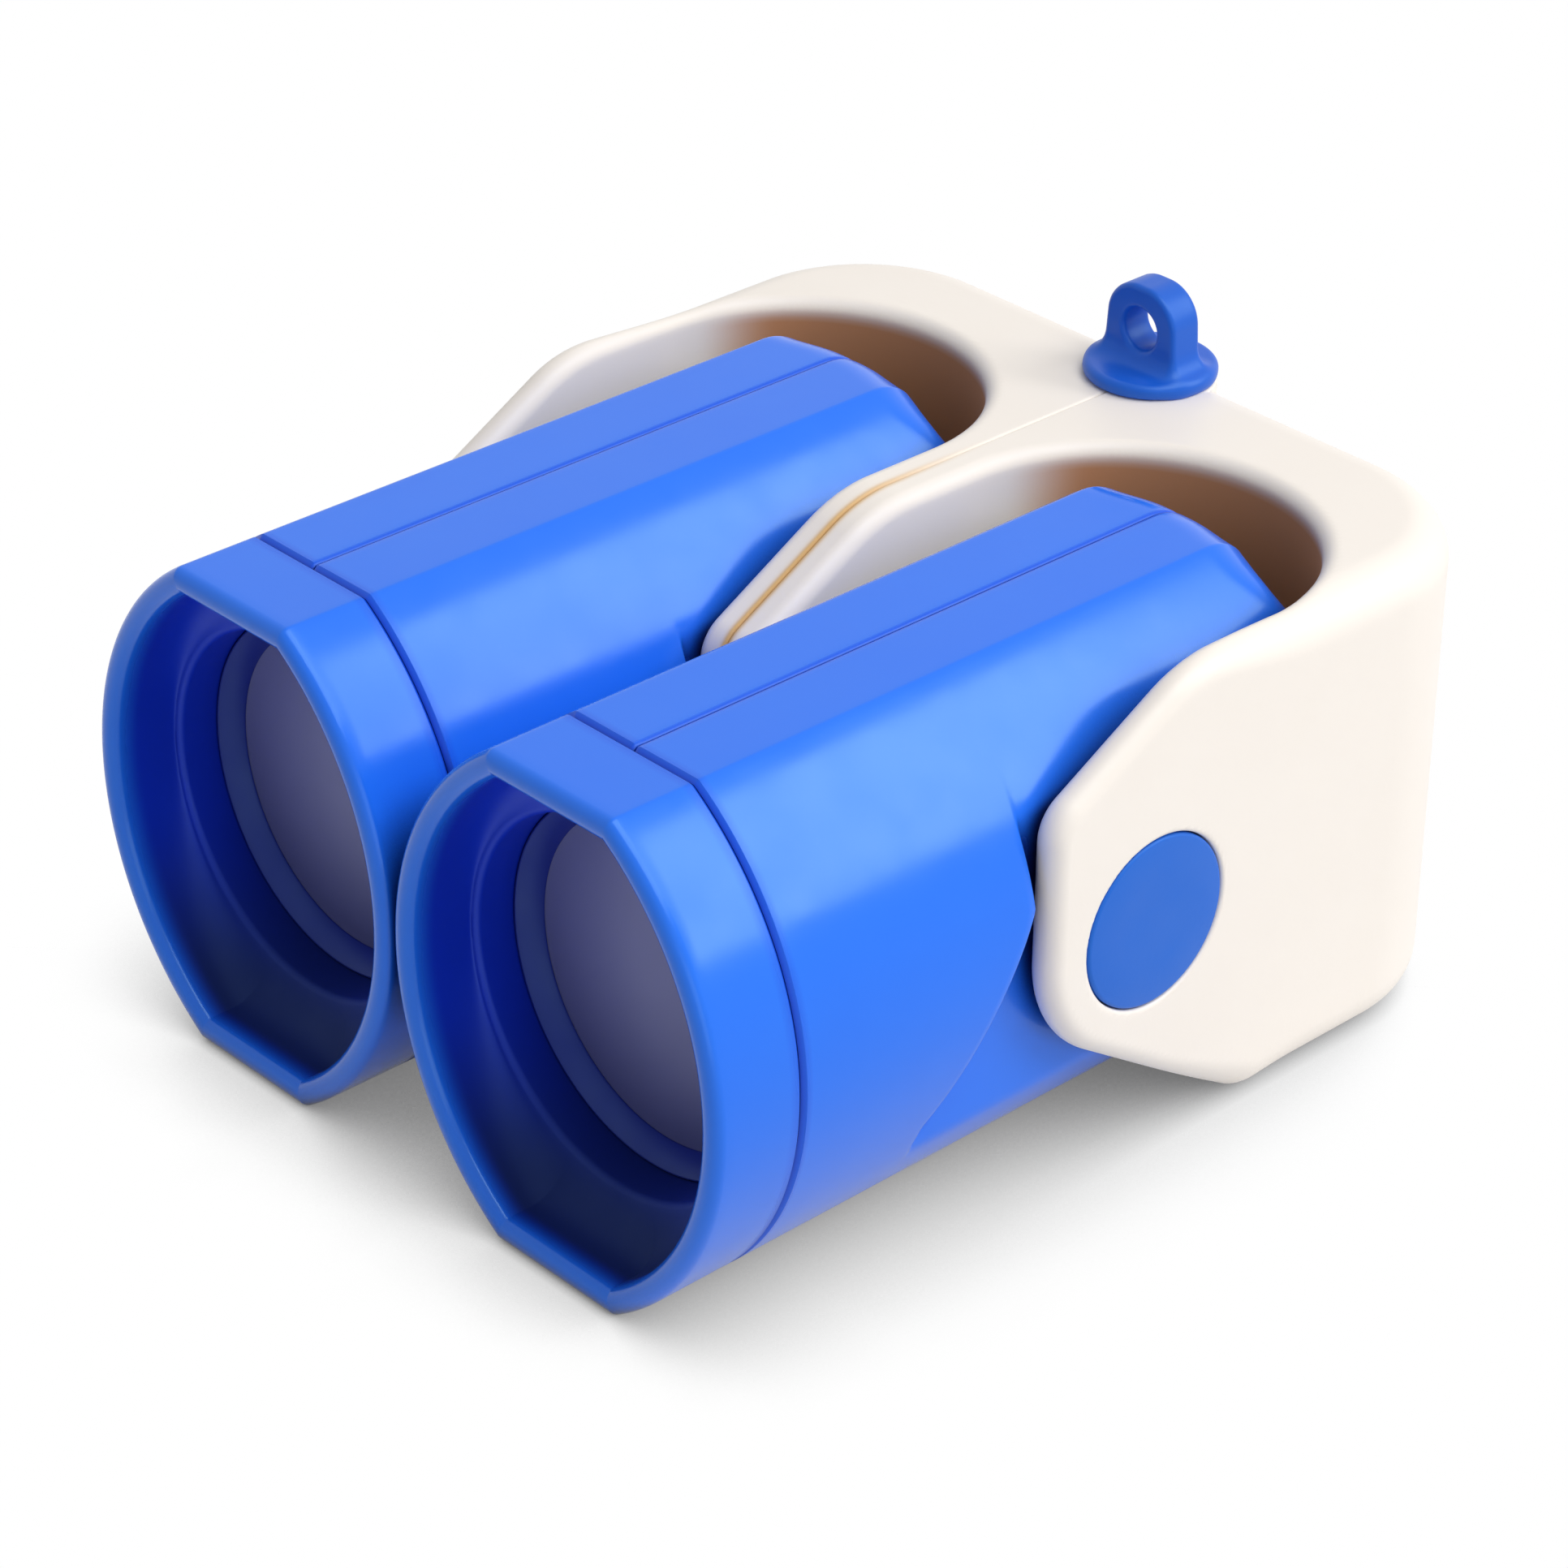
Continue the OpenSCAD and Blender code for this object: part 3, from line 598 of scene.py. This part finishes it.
# Lanyard eyelet
# A loop of satin blue ABS for a neck cord, moulded in one piece with a round flange that lies on the body.
# Its post goes down into the body and turns there, held by a steel clip below the top wall.
flange_radius = 8.5
flange_top = 66.0
flange_round = 0.9
loop_top = 76.5
loop_half_width = 6.1
loop_taper = 0.07
loop_half_thick = 2.5
loop_shoulder = 4.6
loop_edge = 0.7
loop_root = 0.6
loop_fillet = 3.0
cord_hole_radius = 2.75
cord_hole_z = 70.7
post_radius = 3.5
post_end = 56.3
post_overlap = 0.5


def eyelet_distance(x, y, z):
    """Distance to the eyelet about its turning axis: a tapering plate with rounded shoulders, blended
    into a rounded disc, with a round cord hole through the plate and a post below."""
    taper = np.abs(x) - loop_half_width + loop_taper * (z - flange_top)
    plate = both(taper, z - loop_top, loop_shoulder)
    plate = both(plate, np.abs(y) - loop_half_thick, loop_edge)
    plate = np.maximum(plate, body_height + loop_root - z)
    faces = np.abs(z - (body_height + flange_top) / 2) - (flange_top - body_height) / 2
    disc = both(np.hypot(x, y) - flange_radius, faces, flange_round)
    solid = either(plate, disc, loop_fillet)
    solid = np.maximum(solid, body_height - z)
    hole = np.hypot(x, z - cord_hole_z) - cord_hole_radius
    solid = both(solid, -hole, loop_edge)
    ends = np.maximum(post_end - z, z - body_height - post_overlap)
    return np.minimum(solid, np.maximum(np.hypot(x, y) - post_radius, ends))


eyelet_blue = moulded_plastic(
    "satin_blue_eyelet", paint(20, 88, 200), paint(26, 94, 206), (0.34, 0.42), 1.2, 0.006, blue_shine
)
eyelet_plan = lines((-9.5, 9.5, 0.25))
eyelet_levels = lines((56.0, 63.8, 0.4), (63.8, 79.0, 0.25))
points, faces, normals = surface_net(eyelet_distance, eyelet_plan, eyelet_plan, eyelet_levels)
eyelet = make_piece(
    "lanyard_eyelet_skin", points + np.array([0.0, eyelet_y + PIVOT_Y, 0.0]), faces, eyelet_blue, normals
)
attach(eyelet, "eyelet")
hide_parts("lanyard_eyelet")
dress("eyelet_clip", screw_steel)

# Barrel shells
# Two half shells of glossy blue ABS make each barrel, glued along the middle of its flats in a fine groove.
# Behind a soft crease each flank is drawn in to a waist, so that the barrel can fold between the cheeks.
half_height = 32.5
half_width = 27.6
half_flat = 10.0
arc_shift = (half_flat ** 2 + half_height ** 2 - half_width ** 2) / (2.0 * (half_width - half_flat))
arc_radius = half_width + arc_shift
corner_round = 1.0
corner_least = 0.35
shell_wall = 2.4
shell_front = -54.9
shell_rear = 33.4
heel_round = 2.2
flat_heel_round = 8.0
flat_heel_low = 22.0
flat_heel_rise = 9.0
flat_reach = 1.4
flat_reach_low = 24.0
flat_reach_rise = 8.0
heel_corner = 1.6
heel_corner_s = 2.0
heel_corner_width = 9.0
heel_corner_low = 27.0
heel_corner_rise = 5.0
rear_lip = 8.8
rear_lip_step = 8.2
rear_lip_round = 0.3
rear_lip_front = 30.4
swing_radius = 22.8
swing_blend = 1.6
front_chamfer = 0.55
groove_gap = 0.02
groove_round = 0.68
groove_depth = 0.46
waist = 22.7
waist_blend = 0.4
waist_margin = 12.0 * waist_blend
front_crease = 1.7
slant_crease = 3.4
front_waist = 0.65
slant_waist = 0.85
crease_hold = 18.0
groove_steps = 6
flat_steps = 14
corner_steps = 6
flank_steps = 110
front_rows = 33
crease_rows = 14
rear_rows = 52
heel_rows = 14
gap_shade = (0.7, 0.35)
groove_shade = 0.55
groove_shade_columns = 5.5
groove_shade_fade = 2.5
crease_shade = 0.8
crease_shade_ahead = 2.0
crease_shade_fade = 1.4
crease_sunk_least = 0.9
crease_sunk_gain = 1.6


def half_section(inset, corner, groove):
    """One half of the barrel section, from the middle of the top flat round the flank to the middle of the
    bottom flat, for each inset: straight flats, then the corner arcs, then the wide side arc.
    Groove is 1 where the edge on the parting plane is rolled in and 0 where it is plain."""
    height = half_height - inset
    radius = arc_radius - inset
    corner_s = np.sqrt((radius - corner) ** 2 - (height - corner) ** 2) - arc_shift
    reach = np.arctan2(height - corner, corner_s + arc_shift)
    turn = np.linspace(0.0, math.pi / 2, groove_steps)[None, :]
    rolled_s = groove_gap + groove_round * (1.0 - np.cos(turn)) + 0.0 * inset
    rolled_u = height - groove * groove_depth * (1.0 - np.sin(turn))
    share = np.linspace(0.0, 1.0, flat_steps)[None, 1:-1]
    flat_s = groove_gap + groove_round + (corner_s - groove_gap - groove_round) * share
    flat_u = height + 0.0 * flat_s
    share = np.linspace(0.0, 1.0, corner_steps)[None, :]
    angle = math.pi / 2 + (reach - math.pi / 2) * share
    corner_arc_s = corner_s + corner * np.cos(angle)
    corner_arc_u = height - corner + corner * np.sin(angle)
    angle = reach * np.linspace(1.0, 0.0, flank_steps // 2 + 1)[None, 1:]
    flank_s = radius * np.cos(angle) - arc_shift
    flank_u = radius * np.sin(angle)
    s = np.concatenate([rolled_s, flat_s, corner_arc_s, flank_s], axis=1)
    u = np.concatenate([rolled_u, flat_u, corner_arc_u, flank_u], axis=1)
    return np.concatenate([s, s[:, -2::-1]], axis=1), np.concatenate([u, -u[:, -2::-1]], axis=1)


def crease_y(u, front_gap, slant_gap):
    """Where the flank turns into the waist at each height: the front-most of the line that the cheek's
    front edge needs at rest and the slanted line that its lower edge needs when the barrel is folded,
    which stops at the reach of the body's underside. Each gap is how far ahead of that edge it lies."""
    front = -(cheek_reach + front_gap)
    slant = -(cheek_reach + slant_gap - u * math.sin(undercut_angle)) / math.cos(undercut_angle)
    under = -(half_height + front_gap)
    return np.minimum(front, np.maximum(slant, under))


def heel_y(s, u, room, rear):
    """How far back the barrel may reach at a place in its section. Above the pivot that is the depth of the
    pocket's half-round rear wall. Below it the barrel turns past that wall as it folds, so there its
    distance from the pivot is at most that depth. The upper end reaches back a little in its middle."""
    depth = pocket_centre_y + np.sqrt(np.maximum(room * room - s * s, 0.0))
    low = np.minimum(u, 0.0)
    beside = soft_step((np.abs(s) - heel_corner_s) / heel_corner_width)
    beside = beside * soft_step((u - heel_corner_low) / heel_corner_rise)
    rear = rear + flat_reach * soft_step((u - flat_reach_low) / flat_reach_rise) - heel_corner * beside
    return lesser(np.sqrt(np.maximum(depth * depth - low * low, 1.0)), rear, swing_blend)


def drawn_in(s, inset, share):
    """Sideways place of the flank once it is drawn in to the waist, by a share from 0 to 1."""
    over = s - waist + inset
    over = (over + np.sqrt(over * over + waist_blend * waist_blend)) / 2.0
    return s - share * np.where(s > waist - inset - waist_margin, over, 0.0)


def half_ring_faces(rows, columns):
    """Faces of half a barrel: the rows close to a ring, the columns stay open, and a strip from the outer
    rows to the inner ones closes each parting face."""
    near = np.arange(rows // 2 - 1)
    far = rows - 1 - near
    top = np.stack([near, near + 1, far - 1, far], axis=1) * columns
    bottom = np.stack([far, far - 1, near + 1, near], axis=1) * columns + columns - 1
    return np.concatenate([grid_faces(rows, columns, True, wrap_columns=False), top, bottom])


def barrel_half():
    """Half a barrel on the +s side: rows of half sections from the front edge to the rear, round the rear
    heel and forward again inside, so the rows close to a ring. The rows bend to follow the crease, and
    behind it the flank slides in to the waist by a soft step. The last value is the shade of each point:
    1 inside, and less in the groove, at the front gap and where the flank sinks in."""
    leg = np.repeat([0, 1, 2], [front_rows, crease_rows, rear_rows + 1])[:, None]
    share = np.concatenate([
        np.linspace(0.0, 1.0, front_rows + 1)[:-1],
        np.linspace(0.0, 1.0, crease_rows + 1)[:-1],
        np.linspace(0.0, 1.0, rear_rows + 1),
    ])[:, None]
    inset = np.zeros((len(share) + 1, 1))
    plain = np.zeros_like(inset)
    inset[0] = front_chamfer
    s, u = half_section(inset, np.maximum(corner_round - inset, corner_least), np.ones_like(inset))
    held_u = np.clip(u, -crease_hold, crease_hold)
    ahead = crease_y(held_u, front_crease, slant_crease)
    behind = crease_y(held_u, front_waist, slant_waist)
    on_flat = soft_step((u - flat_heel_low) / flat_heel_rise)
    rear_round = heel_round + (flat_heel_round - heel_round) * on_flat[1:2]
    heel = heel_y(drawn_in(s, 0.0, 1.0), u, swing_radius, shell_rear) - rear_round
    start = shell_front + front_chamfer
    outer_y = np.choose(leg, [
        start + (ahead[1:] - start) * share,
        ahead[1:] + (behind - ahead)[1:] * share,
        behind[1:] + (heel - behind)[1:] * share,
    ])
    outer_y = np.concatenate([np.full_like(s[:1], shell_front), outer_y])
    outer_s = drawn_in(s, 0.0, soft_step((outer_y - ahead) / (behind - ahead)))
    turn = np.linspace(0.0, math.pi / 2, heel_rows + 1)[1:, None]
    lip_inset = [[rear_lip_step], [rear_lip - rear_lip_round], [rear_lip]]
    rim_inset = np.concatenate([flat_heel_round * (1.0 - np.cos(turn)), lip_inset])
    rim_groove = np.concatenate([np.ones_like(turn), [[1.0], [0.0], [0.0]]])
    rim_s, rim_u = half_section(rim_inset, np.maximum(corner_round - rim_inset, corner_least), rim_groove)
    rim_s = drawn_in(rim_s, rim_inset, 1.0)
    rolled_in = np.clip(1.0 - rim_inset / rear_round, 0.0, 1.0)
    rim_y = heel_y(rim_s, rim_u, swing_radius, shell_rear)
    rim_y = rim_y - rear_round * (1.0 - np.sqrt(1.0 - rolled_in ** 2))
    rim_y[-1] -= rear_lip_round
    inner_s, inner_u = half_section(plain + shell_wall, plain + corner_least, plain)
    inner_room = swing_radius - shell_wall
    inner_heel = heel_y(drawn_in(inner_s, shell_wall, 1.0), inner_u, inner_room, rear_lip_front)
    inner_y = np.minimum(outer_y[::-1], inner_heel)
    inner_y[0] = inner_heel[0]
    inner_s = drawn_in(inner_s, shell_wall, soft_step((inner_y - ahead[:1]) / (behind - ahead)[:1]))
    lip_y = np.minimum(rim_y[-1:], rear_lip_front)
    all_s = np.concatenate([outer_s, rim_s, rim_s[-1:], inner_s])
    all_u = np.concatenate([u, rim_u, rim_u[-1:], inner_u])
    all_y = np.concatenate([outer_y, rim_y, lip_y, inner_y])
    rows, columns = all_s.shape
    points = np.stack([all_s, all_y, all_u], axis=-1).reshape(-1, 3)
    first_inside = len(outer_y) + len(rim_y) - 2
    from_groove = np.minimum(np.arange(columns), np.arange(columns)[::-1])
    deep = groove_shade * soft_step((groove_shade_columns - from_groove) / groove_shade_fade)
    deep = np.tile(deep, (rows, 1))
    deep[first_inside:] = 1.0
    full_s = half_section(inset, plain + corner_round, plain)[0]
    sunk = soft_step((full_s - outer_s - crease_sunk_least) / crease_sunk_gain)
    sunk = sunk * soft_step((behind - outer_y + crease_shade_ahead) / crease_shade_fade)
    deep[:len(sunk)] = np.maximum(deep[:len(sunk)], crease_shade * sunk)
    deep[0] = gap_shade[0]
    deep[1] = np.maximum(deep[1], gap_shade[1])
    return points, half_ring_faces(rows, columns), deep.reshape(-1)


half_points, half_faces, half_deep = barrel_half()
for side, sign in SIDES:
    for half, way in (("outer", sign), ("inner", -sign)):
        points = half_points * np.array([way, 1.0, 1.0]) + barrel_axis(sign)
        # The mark "inside" is painted shade: full inside the shell, and less in the groove, at the front gap
        # and along the crease.
        shell = make_piece(
            f"{side}_barrel_{half}_shell_skin", points, half_faces, blue, marks={"inside": half_deep}
        )
        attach(shell, f"{side}_barrel")
        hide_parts(f"{side}_barrel_{half}_shell")

# Front caps
# A separate cap of glossy blue ABS is pushed into the front of each barrel and leaves a fine gap round it.
# Its hood has the barrel's section, with a rolled rim, and steps down to the round mouth of the lens bore.
cap_front = -67.6
cap_length = 12.6
rim_roll = 1.5
rim_wall = 3.2
hood_depth = 9.0
hood_hollow = 4.5
mouth_radius = 23.2
mouth_roll = 0.9
lens_seat = 19.5
lens_lip_radius = 20.5
spigot_end = 21.5
spigot_inset = 2.5
bore_rows = (12.0, 14.5)
hood_shade_start = 0.8
hood_shade_length = 3.2
foot_shade_top = -6.0
foot_shade_height = 22.0


def cap_surface():
    """The cap as a closed ring of rows round the barrel axis. Each row lies at a distance from the front
    rim and is the barrel section at an inset, a circle with the same bearings, or a share of each: the
    floor of the hood goes from the one to the other by a quarter round, the share being one less a cosine.
    The marks say how deep in shade the hood's inside is, and its lower part."""
    wall = np.linspace(cap_length - front_chamfer, rim_roll, 9)
    rim = rolled((0.0, rim_roll), (rim_roll, 0.0), False, 7)
    lip = rolled((rim_wall - rim_roll, 0.0), (rim_wall, rim_roll), True, 7)
    hood = np.linspace(rim_roll, hood_depth - hood_hollow, 7)[1:]
    floor_turn = np.linspace(0.0, math.pi / 2, 11)[1:-1]
    floor_place = hood_depth - hood_hollow * (1.0 - np.sin(floor_turn))
    mouth_edge = mouth_radius + mouth_roll
    mouth = rolled((mouth_edge, hood_depth), (mouth_radius, hood_depth + mouth_roll), True, 6)
    inset_rows = np.concatenate([
        [[front_chamfer, cap_length]], np.stack([0.0 * wall, wall], axis=1), rim[1:], lip,
        np.stack([0.0 * hood + rim_wall, hood], axis=1),
    ])
    round_rows = np.concatenate([
        np.stack([0.0 * floor_place + mouth_edge, floor_place], axis=1), mouth,
        [[mouth_radius, row] for row in bore_rows],
        [[mouth_radius, lens_seat], [lens_lip_radius, lens_seat], [lens_lip_radius, spigot_end]],
    ])
    back_rows = np.array([[spigot_inset, spigot_end], [spigot_inset, cap_length]])
    inset = np.concatenate([inset_rows[:, 0], 0.0 * round_rows[:, 0] + rim_wall, back_rows[:, 0]])[:, None]
    radius = np.concatenate([0.0 * inset_rows[:, 0], round_rows[:, 0], 0.0 * back_rows[:, 0]])[:, None]
    place = np.concatenate([inset_rows[:, 1], round_rows[:, 1], back_rows[:, 1]])
    share = np.where(radius > 0.0, 1.0, 0.0)
    share[len(inset_rows):len(inset_rows) + len(floor_turn), 0] = 1.0 - np.cos(floor_turn)
    s, u = half_section(inset, np.maximum(corner_round - inset, corner_least), np.zeros_like(inset))
    s[:, 0] = 0.0
    s[:, -1] = 0.0
    s = np.concatenate([s, -s[:, -2:0:-1]], axis=1)
    u = np.concatenate([u, u[:, -2:0:-1]], axis=1)
    reach = np.hypot(s, u)
    s = s + share * (radius * s / reach - s)
    u = u + share * (radius * u / reach - u)
    y = np.broadcast_to(place[:, None] + cap_front, s.shape)
    inside_row = len(wall) + len(rim) + len(lip) - 1
    deep = soft_step((place - hood_shade_start) / hood_shade_length)
    deep[:inside_row] = 0.0
    deep[:2] = gap_shade
    deep = np.broadcast_to(deep[:, None], s.shape)
    points = np.stack([s, y, u], axis=-1).reshape(-1, 3)
    # Deeper painted shade on the lower part of the hood's inside.
    foot = deep * soft_step((foot_shade_top - u) / foot_shade_height)
    return points, grid_faces(*s.shape, True), {"inside": deep.reshape(-1), "hood_foot_shade": foot.reshape(-1)}


cap_points, cap_faces, cap_marks = cap_surface()
for side, sign in SIDES:
    points = cap_points + barrel_axis(sign)
    cap = make_piece(f"{side}_front_cap_skin", points, cap_faces, blue, marks=cap_marks)
    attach(cap, f"{side}_barrel")
    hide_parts(f"{side}_front_cap")

# Objective lenses
# A hazy violet-grey domed lens rests on a lip in each cap, and a ring pressed in front holds it.
# The ring is moulded in a dusky blue and its face slopes in to the lens.
lens_front = -50.6
lens_edge = 2.5
lens_radius = 23.1
lens_dome = 20.4
lens_front_rise = 1.8
lens_rear_rise = 1.2
ring_length = 2.5
ring_round = 0.2
ring_face = 0.15
ring_face_sink = 0.05
ring_slope_end = 0.3
lens_columns = 128
# Painted shade on the objective lens: its base share, and how much it grows towards the edge and the bottom.
lens_shade_base = 0.35
lens_shade_edge = 0.3
lens_shade_low = 0.35
smoke = clear_plastic("smoke_violet_lens", paint(147, 151, 200), paint(86, 90, 140), (0.34, 0.44), 0.0)
smoke.node_tree.nodes["Principled BSDF"].inputs["Specular IOR Level"].default_value = 0.3
dusky_blue = moulded_plastic(
    "dusky_blue_ring", paint(26, 38, 136), paint(30, 42, 140), (0.40, 0.50), 1.2, 0.006, blue_shine
)
objective_profile = np.concatenate([
    dome(lens_dome, -lens_front_rise, lens_front, 20),
    [[lens_radius, lens_front], [lens_radius, lens_front + lens_edge]],
    dome(lens_dome, lens_rear_rise, lens_front + lens_edge, 20)[::-1],
])
ring_front = lens_front - ring_length
holder_profile = np.concatenate([
    [[lens_lip_radius, lens_front - seat_gap], [lens_radius, lens_front - seat_gap]],
    rolled((lens_radius, ring_front + ring_round), (lens_radius - ring_round, ring_front), False, 3),
    [[lens_radius - ring_round - ring_face, ring_front + ring_face_sink],
     [lens_lip_radius + ring_face_sink, lens_front - ring_slope_end]],
])
objective_parts = (
    ("objective_lens", objective_profile, False, smoke, "objective_lens"),
    ("lens_ring", holder_profile, True, dusky_blue, "inner_plastic"),
)
for side, sign in SIDES:
    for part, profile, closed, material, slot in objective_parts:
        points, faces = turned(profile, lens_columns, closed)
        # Painted shade from the hood: the lens is darker towards its edge and its bottom.
        outward = np.hypot(points[:, 0], points[:, 2]) / lens_dome
        reach = lens_shade_base + lens_shade_edge * outward - lens_shade_low * points[:, 2] / lens_dome
        piece = make_piece(
            f"{side}_{part}_skin", points + barrel_axis(sign), faces, material, marks={"reach": reach}
        )
        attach(piece, f"{side}_barrel")
        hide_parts(f"{side}_{part}")

# Rear baffles
# A flat plate of dark-blue ABS with a round hole closes each barrel behind. It is glued in just short of the
# rear rim and stays as the solid gives it.
for side, _ in SIDES:
    dress(f"{side}_rear_baffle", deep_blue)

# Pivots
# A satin blue pin with a broad head turns in each cheek, flush with its face, pressed into the barrel.
# A shorter stub pin does the same at the centre wall; acetal washers in the gaps give the joint its drag.
head_radius = 11.0
head_inner = 23.6
head_face = 27.95
head_roll = 0.45
spigot_radius = 6.0
spigot_inner = 14.7
pin_columns = 128
disc_blue = moulded_plastic(
    "satin_blue_pin", paint(22, 96, 204), paint(28, 102, 208), (0.40, 0.50), 0.8, 0.010, blue_shine
)
washer_white = moulded_plastic(
    "white_acetal", paint(230, 230, 226), paint(222, 222, 218), (0.4, 0.5), 0.8, 0.008
)
pin_profile = np.concatenate([
    [[0.0, spigot_inner], [spigot_radius, spigot_inner]],
    [[spigot_radius, head_inner], [head_radius, head_inner]],
    rolled((head_radius, head_face - head_roll), (head_radius - head_roll, head_face), False, 4),
    [[spigot_radius, head_face], [0.0, head_face]],
])
for side, sign in SIDES:
    points, faces = turned(pin_profile, pin_columns, False, across=True)
    points = points * np.array([sign, 1.0, 1.0]) + barrel_axis(sign)
    pin = make_piece(f"{side}_outer_pivot_pin_skin", points, faces, disc_blue)
    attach(pin, f"{side}_barrel")
    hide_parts(f"{side}_outer_pivot_pin")
    dress(f"{side}_inner_pivot_pin", disc_blue)
    dress(f"{side}_outer_washer", washer_white)
    dress(f"{side}_inner_washer", washer_white)

# Studio
# A plain white floor in pale air. A tall softbox stands behind to the right, a broad one high on the right,
# and a weak one in front. The floor shows the white air behind it, with a painted soft grey shadow close to
# the toy.
floor_size = 6.0
floor_drop = 0.00002
shadow_reach = 0.040
shadow_clear = 0.72
shadow_lean = (0.10, 0.46, 0.88)
shadow_depth = 0.96
air_front = 0.24
air_rear = 0.60
toy_middle = (0.0, 0.0, 0.03)
corner_ways = ((-1.0, -1.0), (1.0, -1.0), (1.0, 1.0), (-1.0, 1.0))
floor_points = [(x * floor_size / 2, y * floor_size / 2, -floor_drop) for x, y in corner_ways]
floor_mesh = bpy.data.meshes.new("studio_floor")
floor_mesh.from_pydata(floor_points, [], [(0, 1, 2, 3)])
floor = bpy.data.objects.new("studio_floor", floor_mesh)
bpy.context.scene.collection.objects.link(floor)


def seen_directly(tree):
    """1 for what the camera, a mirror or clear plastic looks at, and 0 for what only sends light on."""
    path = add_node(tree, "ShaderNodeLightPath").outputs
    sockets = {0: path["Is Camera Ray"], 1: path["Is Glossy Ray"]}
    seen = add_node(tree, "ShaderNodeMath", sockets, operation="MAXIMUM").outputs["Value"]
    sockets = {0: seen, 1: path["Is Transmission Ray"]}
    return add_node(tree, "ShaderNodeMath", sockets, operation="MAXIMUM").outputs["Value"]


def shader_mix(tree, factor, first, second):
    """Shader that goes from the first to the second by a factor."""
    return add_node(tree, "ShaderNodeMixShader", {0: factor, 1: first, 2: second}).outputs["Shader"]


floor_paint, floor_tree, floor_shader = new_material("white_floor")
floor_shader.inputs["Base Color"].default_value = paint(226, 226, 226)
floor_shader.inputs["Roughness"].default_value = 0.9
floor_shader.inputs["Specular IOR Level"].default_value = 0.0
lean = add_node(floor_tree, "ShaderNodeNormal")
lean.outputs["Normal"].default_value = shadow_lean
openness = add_node(floor_tree, "ShaderNodeAmbientOcclusion",
                    {"Normal": lean.outputs["Normal"], "Distance": shadow_reach}, samples=16)
veil = add_node(floor_tree, "ShaderNodeMapRange", {
    "Value": openness.outputs["AO"], "From Min": shadow_clear, "From Max": 0.0, "To Max": shadow_depth,
})
shadow = add_node(floor_tree, "ShaderNodeEmission", {"Color": paint(30, 30, 34), "Strength": 1.0})
air_behind = add_node(floor_tree, "ShaderNodeBsdfTransparent").outputs["BSDF"]
floor_seen = shader_mix(floor_tree, veil.outputs["Result"], air_behind, shadow.outputs["Emission"])
floor_mix = shader_mix(floor_tree, seen_directly(floor_tree), floor_shader.outputs["BSDF"], floor_seen)
# The lamps shine through the floor, so that barrels folded below it are lit.
lamp_path = add_node(floor_tree, "ShaderNodeLightPath")
floor_lit = shader_mix(floor_tree, lamp_path.outputs["Is Shadow Ray"], floor_mix, air_behind)
floor_tree.links.new(floor_lit, floor_tree.nodes["Material Output"].inputs["Surface"])
floor_mesh.materials.append(floor_paint)

world = bpy.data.worlds.new("studio_air")
bpy.context.scene.world = world
world.use_nodes = True
air_tree = world.node_tree
direction = add_node(air_tree, "ShaderNodeTexCoord").outputs["Generated"]
looking = add_node(air_tree, "ShaderNodeSeparateXYZ", {"Vector": direction}).outputs
air_light = add_node(air_tree, "ShaderNodeMapRange",
                     {"Value": looking["Y"], "From Min": -1.0, "To Min": air_front, "To Max": air_rear})
above = add_node(air_tree, "ShaderNodeMath", {0: looking["Z"], 1: 0.0}, operation="GREATER_THAN")
air_above = add_node(air_tree, "ShaderNodeMath",
                     {0: air_light.outputs["Result"], 1: above.outputs["Value"]}, operation="MULTIPLY")
air_strength = add_node(air_tree, "ShaderNodeMapRange", {
    "Value": seen_directly(air_tree), "To Min": air_above.outputs["Value"], "To Max": 1.0,
})
background = air_tree.nodes["Background"]
background.inputs["Color"].default_value = NO_TINT
air_tree.links.new(air_strength.outputs["Result"], background.inputs["Strength"])


def turned_to(bearing, elevation, roll):
    """Turn of a lamp or camera that looks in from a bearing and an elevation in degrees, rolled about its
    own axis."""
    turn = Matrix.Rotation(math.radians(bearing), 4, "Z")
    turn = turn @ Matrix.Rotation(math.radians(90.0 - elevation), 4, "X")
    return turn @ Matrix.Rotation(math.radians(roll), 4, "Z")


def softbox(name, bearing, elevation, roll, distance, width, height, watts):
    """Rectangular soft light that faces the middle of the toy from some way off, sizes in metres."""
    lamp = bpy.data.lights.new(name, "AREA")
    lamp.shape = "RECTANGLE"
    lamp.size = width
    lamp.size_y = height
    lamp.energy = watts
    made = bpy.data.objects.new(name, lamp)
    away = Matrix.Translation((0.0, 0.0, distance))
    made.matrix_world = Matrix.Translation(toy_middle) @ turned_to(bearing, elevation, roll) @ away
    bpy.context.scene.collection.objects.link(made)


softbox("rear_right_softbox", 135.0, 33.0, -29.0, 1.8, 0.40, 1.26, 8.9)
softbox("high_right_softbox", 98.0, 61.0, 0.0, 1.2, 0.9, 0.9, 8.0)
softbox("front_right_fill", 62.0, 6.0, 0.0, 1.5, 0.8, 0.8, 1.4)

# Camera
# A long lens looks down on the front right corner of the toy, as in the photograph. Its place, turn and
# focal length come from the edges of the body, the barrels and the pin head there.
camera_place = (0.37292, -0.35479, 0.33100)
camera_bearing = 46.797
camera_elevation = 30.578
camera_roll = 0.640
camera_lens = 112.4
view = bpy.data.cameras.new("photo_camera")
view.lens = camera_lens
view.sensor_width = 36.0
view.clip_start = 0.01
camera = bpy.data.objects.new("photo_camera", view)
aim = turned_to(camera_bearing, camera_elevation, camera_roll)
camera.matrix_world = Matrix.Translation(camera_place) @ aim
bpy.context.scene.collection.objects.link(camera)
bpy.context.scene.camera = camera
bpy.context.scene.view_settings.view_transform = "Standard"
